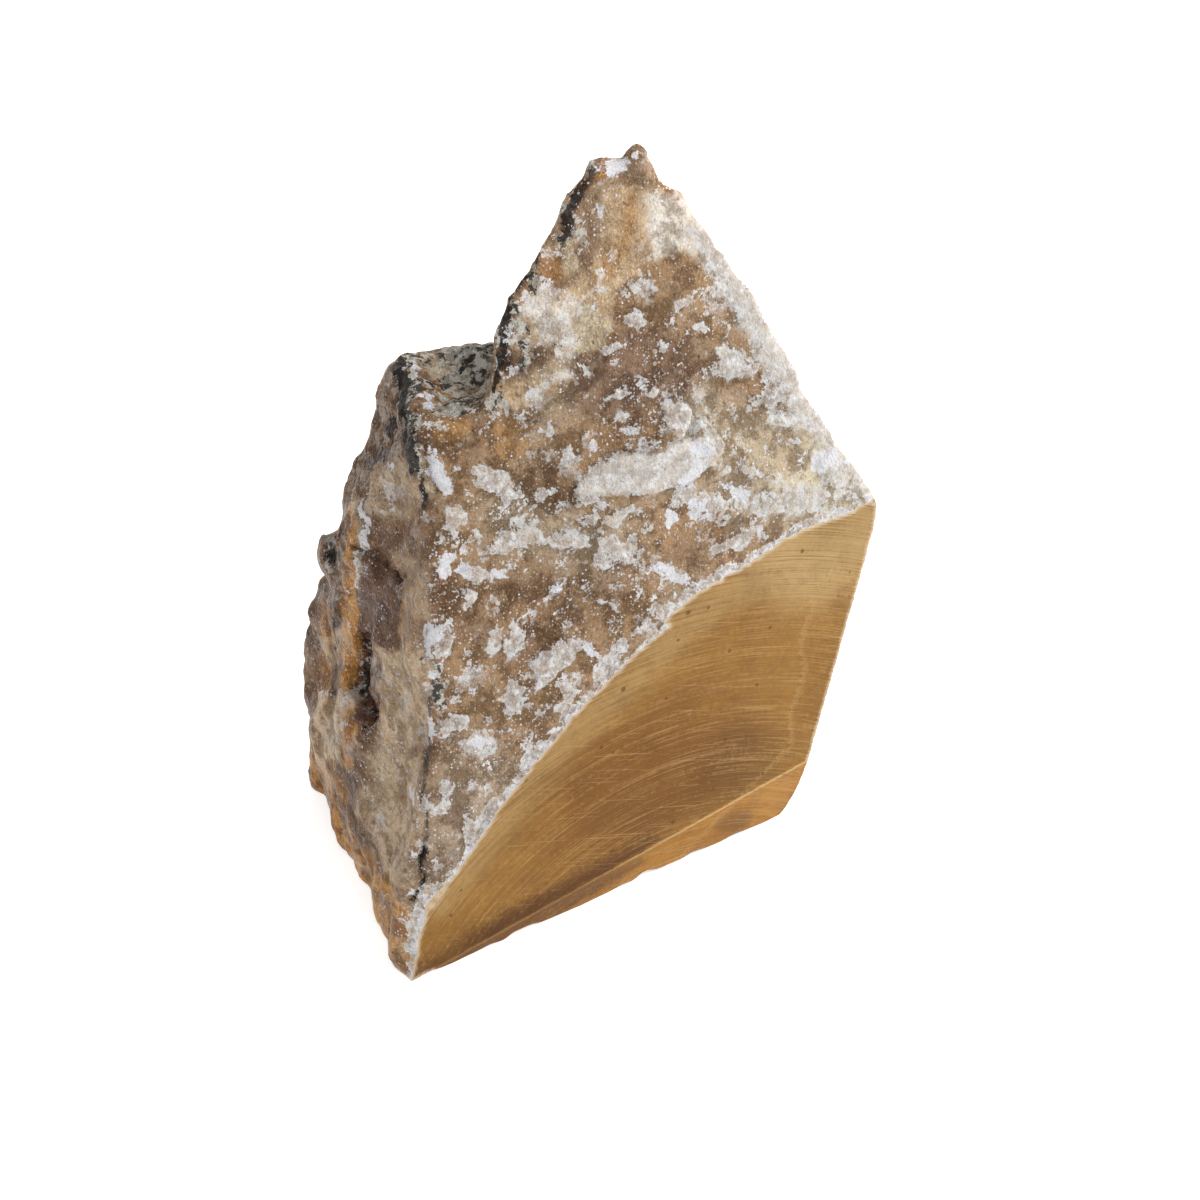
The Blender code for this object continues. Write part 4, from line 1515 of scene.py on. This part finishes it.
    def store_sawn(self, mesh: bmesh.types.BMesh, rim_layer: bmesh.types.BMLayerItem) -> None:
        """Stores the tone of the sawn faces, and how far each point is from the rim of the long cut."""
        tint_layer = mesh.verts.layers.float_vector["tint"]
        vein_layer = mesh.verts.layers.float.new("vein")
        rim = []
        for vertex in mesh.verts:
            kinds = {face.material_index for face in vertex.link_faces}
            if len(kinds) == 2 and self.off_cut([vertex.co], Cut.LONG) < self.touch:
                rim.append(vertex)
        tree = kdtree.KDTree(len(rim))
        for spot, vertex in enumerate(rim):
            tree.insert(vertex.co, spot)
        tree.balance()
        for vertex in mesh.verts:
            vertex[rim_layer] = min(tree.find(vertex.co)[2], self.rim_reach)
        flat = [v for v in mesh.verts if any(face.material_index == 1 for face in v.link_faces)]
        points = np.array([vertex.co for vertex in flat])
        on_short = np.abs(points @ np.array(Cut.SHORT.value) - self.offsets[Cut.SHORT]) < self.touch
        tints = sawn_tints(self.view, points, on_short)
        veins = VEIN.beside(*self.view.pixels(points))
        for vertex, tint, vein in zip(flat, tints, veins):
            vertex[vein_layer] = vein
            if all(face.material_index == 1 for face in vertex.link_faces):
                vertex[tint_layer] = tint


def above_rim(right: np.ndarray, down: np.ndarray) -> np.ndarray:
    """Returns how many pixels each place in the photograph is above the rim of the long cut."""
    rights, downs = zip(*SAWN_RIM)
    return np.interp(right, rights, downs) - down


def laid_on(
    tints: np.ndarray, washes: Iterable[Wash], right: np.ndarray, down: np.ndarray, share: np.ndarray
) -> np.ndarray:
    """Lays washes over tints.

    Args:
        tints: the colour of each point so far.
        washes: the washes, in order.
        right: pixels of each point to the right.
        down: pixels of each point down.
        share: how far the washes count at each point.

    Returns:
        The new colour of each point.
    """
    for wash in washes:
        inside = wash.mark.inside(right, down)
        laid = step_up(-wash.softness / 2.0, wash.softness / 2.0, inside) * wash.strength * share
        tints = tints + (np.array(wash.tone.value) - tints) * laid[:, None]
    return tints


def sawn_tints(view: PhotoView, points: np.ndarray, on_short: np.ndarray) -> np.ndarray:
    """Returns the tone of points on the sawn faces. The short cut starts from a brighter orange: honey stone
    with painted bounce light from the floor.
    """
    right, down = view.pixels(points)
    everywhere = np.ones(len(points))
    start = np.where(on_short[:, None], np.array(Tone.BOUNCE_LIT_ORANGE.value), np.array(Tone.TAN.value))
    tints = laid_on(start, SAWN_WASHES, right, down, np.where(on_short, 0.0, everywhere))
    return laid_on(tints, SHORT_CUT_WASHES, right, down, np.where(on_short, everywhere, 0.0))


def soft_noise(points: np.ndarray, length: float | Sequence[float], start: float = 0.0) -> np.ndarray:
    """Returns smooth noise.

    Args:
        points: where it is read, one row each.
        length: the wavelength in millimetres, or one for each axis.
        start: moves the pattern, so that two don't match.

    Returns:
        The noise, from about -1 to 1.
    """
    scaled = points / np.asarray(length) + start
    return np.array([noise.noise(place) for place in scaled])


def drift(points: np.ndarray, length: float, start: float = 0.0) -> np.ndarray:
    """Returns smooth noise vectors at points, each part from about -1 to 1."""
    scaled = points / length + start
    return np.array([noise.noise_vector(place) for place in scaled])


def terraces(points: np.ndarray, length: float, steps: float, start: float = 0.0) -> np.ndarray:
    """Returns noise with level treads and steep risers, from about -1 to 1."""
    level = steps * soft_noise(points, length, start)
    tread = np.floor(level)
    return (tread + step_up(0.6, 1.0, level - tread)) / steps


def lumps(points: np.ndarray, length: float) -> np.ndarray:
    """Returns rounded lumps, packed side by side: 1 at the middle of one and about 0 between them."""
    return np.array([1.0 - 1.7 * noise.voronoi(place)[0][0] for place in points / length])


@dataclass
class Relief:
    """The relief and the marks of the skin, worked out at every point of it.

    Lengths and heights are in millimetres. Each bend is a wavelength and how many pixels it moves the marks.
    Skin that the photograph doesn't show counts as the hidden depth outside every mark, in pixels.
    """

    view: PhotoView
    points: np.ndarray
    normals: np.ndarray
    offsets: dict[Cut, float]
    large_bend: tuple[float, float] = (6.5, 7.0)
    small_bend: tuple[float, float] = (2.4, 3.0)
    hidden_depth: float = 30.0
    fin_foot: tuple[float, float] = (140.0, 132.0)
    crust_edge: tuple[float, float] = (22.0, 2.0)
    rim_depths: tuple[float, float] = (0.4, 5.0)
    rim_pixels: tuple[float, float] = (3.0, 34.0)
    terrace_height: float = 1.0
    terrace_length: float = 11.0
    terrace_steps: float = 3.0
    ripple_height: float = 0.35
    ripple_length: float = 4.2
    grain_height: float = 0.16
    grain_length: float = 2.2
    plate_height: float = 0.35
    column_height: float = 1.2
    column_lengths: tuple[float, float, float] = (4.6, 4.6, 17.0)
    ledge_height: float = 0.5
    ledge_length: float = 7.0
    lump_height: float = 1.1
    lump_length: float = 5.2
    knob_height: float = 0.5
    knob_length: float = 2.6
    crust_sink: float = 0.7

    def __post_init__(self) -> None:
        """Works out what every part of the relief needs."""
        points, normals = self.points, self.normals
        large, small = self.large_bend, self.small_bend
        bent = drift(points, large[0]) * large[1] + drift(points, small[0], 4.0) * small[1]
        right, down = self.view.pixels(points)
        self.right, self.down = right + bent[:, 0], down + bent[:, 2]
        self.shown = step_up(0.02, 0.2, self.view.facing(points, normals))
        self.fresh = step_up(0.1, 0.6, normals @ plane_normal(31.7, 12.0))
        below_fin = step_up(*self.fin_foot, points[:, 2])
        self.left = step_up(0.3, 0.8, -normals[:, 0]) * (1.0 - self.fresh) * below_fin
        behind, above = step_up(0.35, 0.8, normals[:, 1]), step_up(0.5, 0.9, normals[:, 2])
        wander = 24.0 * soft_noise(points, 26.0, 9.0) + 9.0 * soft_noise(points, 8.0, 3.0)
        on_left = step_up(*self.crust_edge, points[:, 0] + wander)
        self.weathered = np.maximum(behind, above * (1.0 - self.fresh)) * on_left
        self.long_cut = self.offsets[Cut.LONG] - points @ np.array(Cut.LONG.value)
        self.short_cut = self.offsets[Cut.SHORT] - points @ np.array(Cut.SHORT.value)
        off_plane = 0.05 + 0.95 * step_up(*self.rim_depths, np.abs(self.long_cut))
        self.off_rim = np.maximum(off_plane, step_up(*self.rim_pixels, above_rim(right, down)) * self.shown)
        self.crust = np.maximum(self.marks(CRUST), self.behind_crust())
        self.frost = self.frost_field()

    def marks(self, marks: Iterable[Mark]) -> np.ndarray:
        """Returns how many pixels each point is inside the nearest of some marks, less on hidden skin."""
        deepest = np.full(len(self.points), -self.hidden_depth)
        for mark in marks:
            deepest = np.maximum(deepest, mark.inside(self.right, self.down))
        return deepest * self.shown - self.hidden_depth * (1.0 - self.shown)

    def lifts(self, marks: Iterable[Mark]) -> np.ndarray:
        """Returns how far some marks lift the skin at each point."""
        height = np.zeros(len(self.points))
        for mark in marks:
            risen = step_up(-2.0, 3.0, mark.inside(self.right, self.down)) * mark.lift
            height = np.where(np.abs(risen) > np.abs(height), risen, height)
        return height * self.shown

    def behind_crust(self) -> np.ndarray:
        """Returns the field of the crust on the weathered back and top, which is more than 0 inside it."""
        patches = soft_noise(self.points, 16.0, 5.0) * 14.0 + soft_noise(self.points, 6.0, 8.0) * 6.0
        return 22.0 * (self.weathered - 0.42) + patches * (1.0 - 0.6 * self.shown)

    def frost_field(self) -> np.ndarray:
        """Returns the field of the frosted plates, which is more than 0 inside them."""
        flow = self.points + drift(self.points, 9.0, 2.0) * 4.0
        scattered = soft_noise(flow, (8.0, 8.0, 6.0), 3.0) * 11.0 + soft_noise(flow, 3.0, 6.0) * 5.0 - 5.5
        by_foot = step_up(5.0, 2.5, self.short_cut + self.points[:, 2])
        strewn = scattered - 2.0 * self.shown - 5.0 * self.left
        return np.maximum(self.marks(PLATES), strewn) - 40.0 * by_foot

    def height(self) -> np.ndarray:
        """Returns how far each point moves out along its normal, in millimetres."""
        points = self.points
        bent = points + drift(points, 8.0, 1.0) * 3.0
        steps = terraces(bent, self.terrace_length, self.terrace_steps)
        height = self.terrace_height * steps * (1.0 - 0.5 * self.weathered)
        height += self.ripple_height * soft_noise(bent, self.ripple_length, 2.0)
        height += self.grain_height * soft_noise(points, self.grain_length, 4.0)
        height += self.plate_height * step_up(-1.5, 2.5, self.frost) * (1.0 - self.weathered)
        height += self.lifts(PLATES)
        columns = self.column_height * soft_noise(bent, self.column_lengths, 7.0)
        ledges = self.ledge_height * terraces(bent, self.ledge_length, self.terrace_steps, 5.0)
        height += self.left * (columns + ledges)
        crusted = self.lump_height * lumps(bent, self.lump_length) - self.crust_sink
        crusted += self.knob_height * lumps(points, self.knob_length)
        height += step_up(-4.0, 6.0, self.crust) * crusted
        return self.behind_cut((height + self.lifts(HOLLOWS)) * self.off_rim)

    def behind_cut(self, height: np.ndarray) -> np.ndarray:
        """Returns the heights, held back where they would carry the skin through the long cut."""
        lean = self.normals @ np.array(Cut.LONG.value)
        most = np.where(lean > 0.05, 0.5 * np.maximum(self.long_cut, 0.0) / np.maximum(lean, 0.05), np.inf)
        return np.where(self.long_cut > 0.0, np.minimum(height, most), height)

    def fields(self) -> dict[str, np.ndarray]:
        """Returns what the finish reads, by name.

        Returns:
            Fields in pixels, each more than 0 inside its marks, and the shares of streaks and of stain.
        """
        fin = step_up(-12.0, 20.0, self.marks(FIBROUS))
        return {
            "frost": self.frost,
            "bruise": self.marks(BRUISES),
            "crust": self.crust,
            "streak": np.maximum(fin * 0.7, self.left * 0.12),
            "stain": np.maximum(np.maximum(fin * 0.3, self.left), 0.7 * (1.0 - self.shown)),
            "soot_and_crack_shade": self.marks(DARK_STREAKS_AND_CRACK_SHADE),
        }

    def tints(self) -> np.ndarray:
        """Returns the tone of the stone at each point, under its frost and crust."""
        tints = np.tile(np.array(Tone.HONEY_BROWN.value), (len(self.points), 1))
        clouds = soft_noise(self.points, 22.0, 1.0)
        bands = soft_noise(self.points, (9.0, 9.0, 26.0), 6.0)
        for tone, share in (
            (Tone.DARK_BROWN, step_up(0.0, 0.6, clouds)),
            (Tone.PALE_HONEY, step_up(-0.1, -0.6, clouds)),
            # Partly painted shade: the left face, turned away from the light, is darkened to grey-brown over
            # its own darker colour.
            (Tone.GREY_BROWN, self.left * 0.8),
            (Tone.OCHRE, self.left * step_up(0.1, 0.5, bands)),
        ):
            tints = tints + (np.array(tone.value) - tints) * share[:, None]
        return laid_on(tints, WASHES, self.right, self.down, self.shown)


@dataclass
class Studio:
    """The pale floor, the soft lights and the camera. Lengths are in metres and power is in watts."""

    view: PhotoView
    floor_size: float = 20.0
    floor_gap: float = 0.0001
    floor_colour: Colour = (0.94, 0.94, 0.94)
    floor_glow: float = 0.5
    sky: float = 0.85
    key_power: float = 6.0
    key_size: float = 0.5
    key_place: tuple[float, float, float] = (0.5, -0.25, 0.75)
    rim_power: float = 4.0
    rim_size: float = 0.4
    rim_place: tuple[float, float, float] = (0.6, 0.35, 0.5)
    aim: tuple[float, float, float] = (0.0, 0.0, 0.08)

    def build(self, shift: np.ndarray) -> None:
        """Builds the studio.

        Args:
            shift: from the photograph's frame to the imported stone's, in millimetres.
        """
        self.floor()
        self.light("key", self.key_place, self.key_power, self.key_size)
        self.light("rim", self.rim_place, self.rim_power, self.rim_size)
        self.world()
        self.camera(shift)

    def floor(self) -> bpy.types.Object:
        """Returns the floor."""
        mesh = bmesh.new()
        bmesh.ops.create_grid(mesh, x_segments=1, y_segments=1, size=self.floor_size)
        bmesh.ops.translate(mesh, verts=mesh.verts, vec=(0.0, 0.0, -self.floor_gap))
        plane = bpy.data.meshes.new("floor")
        mesh.to_mesh(plane)
        mesh.free()
        shading = Shading.named("pale_floor")
        plane.materials.append(
            shading.finish(
                shading.surface(
                    {
                        "Base Color": (*self.floor_colour, 1.0),
                        "Roughness": 0.9,
                        "Emission Color": (1.0, 1.0, 1.0, 1.0),
                        "Emission Strength": self.floor_glow,
                    }
                )
            )
        )
        floor = bpy.data.objects.new("floor", plane)
        bpy.context.scene.collection.objects.link(floor)
        return floor

    def light(self, name: str, place: Sequence[float], power: float, size: float) -> None:
        """Adds a square soft light that points at the stone."""
        lamp = bpy.data.lights.new(name, "AREA")
        lamp.energy = power
        lamp.size = size
        holder = bpy.data.objects.new(name, lamp)
        away = Vector(self.aim) - Vector(place)
        holder.matrix_world = Matrix.Translation(place) @ away.to_track_quat("-Z", "Y").to_matrix().to_4x4()
        bpy.context.scene.collection.objects.link(holder)

    def world(self) -> None:
        """Sets an even white sky and plain colours."""
        world = bpy.data.worlds.new("white")
        world.use_nodes = True
        background = world.node_tree.nodes["Background"]
        background.inputs["Color"].default_value = (1.0, 1.0, 1.0, 1.0)
        background.inputs["Strength"].default_value = self.sky
        bpy.context.scene.world = world
        bpy.context.scene.view_settings.view_transform = "Standard"

    def camera(self, shift: np.ndarray) -> None:
        """Adds the camera at the photograph's angle."""
        lens = bpy.data.cameras.new("camera")
        lens.lens = self.view.lens
        lens.sensor_width = self.view.sensor
        holder = bpy.data.objects.new("camera", lens)
        place = Vector((self.view.eye() + shift) * MILLIMETRE)
        into = Vector(self.view.axes()[2])
        holder.matrix_world = Matrix.Translation(place) @ into.to_track_quat("-Z", "Y").to_matrix().to_4x4()
        bpy.context.scene.collection.objects.link(holder)
        bpy.context.scene.camera = holder


def main() -> None:
    """Builds the stone and the studio."""
    logging.basicConfig(level=logging.INFO, format="%(name)s: %(message)s")
    noise.seed_set(SEED)
    view = PhotoView()
    stone = AlabasterStone(view)
    piece = stone.build()
    LOG.info("%s has %d points and %d faces", piece.name, len(piece.data.vertices), len(piece.data.polygons))
    Studio(view).build(stone.shift)
    LOG.info("the studio is built")


if __name__ == "__main__":
    main()
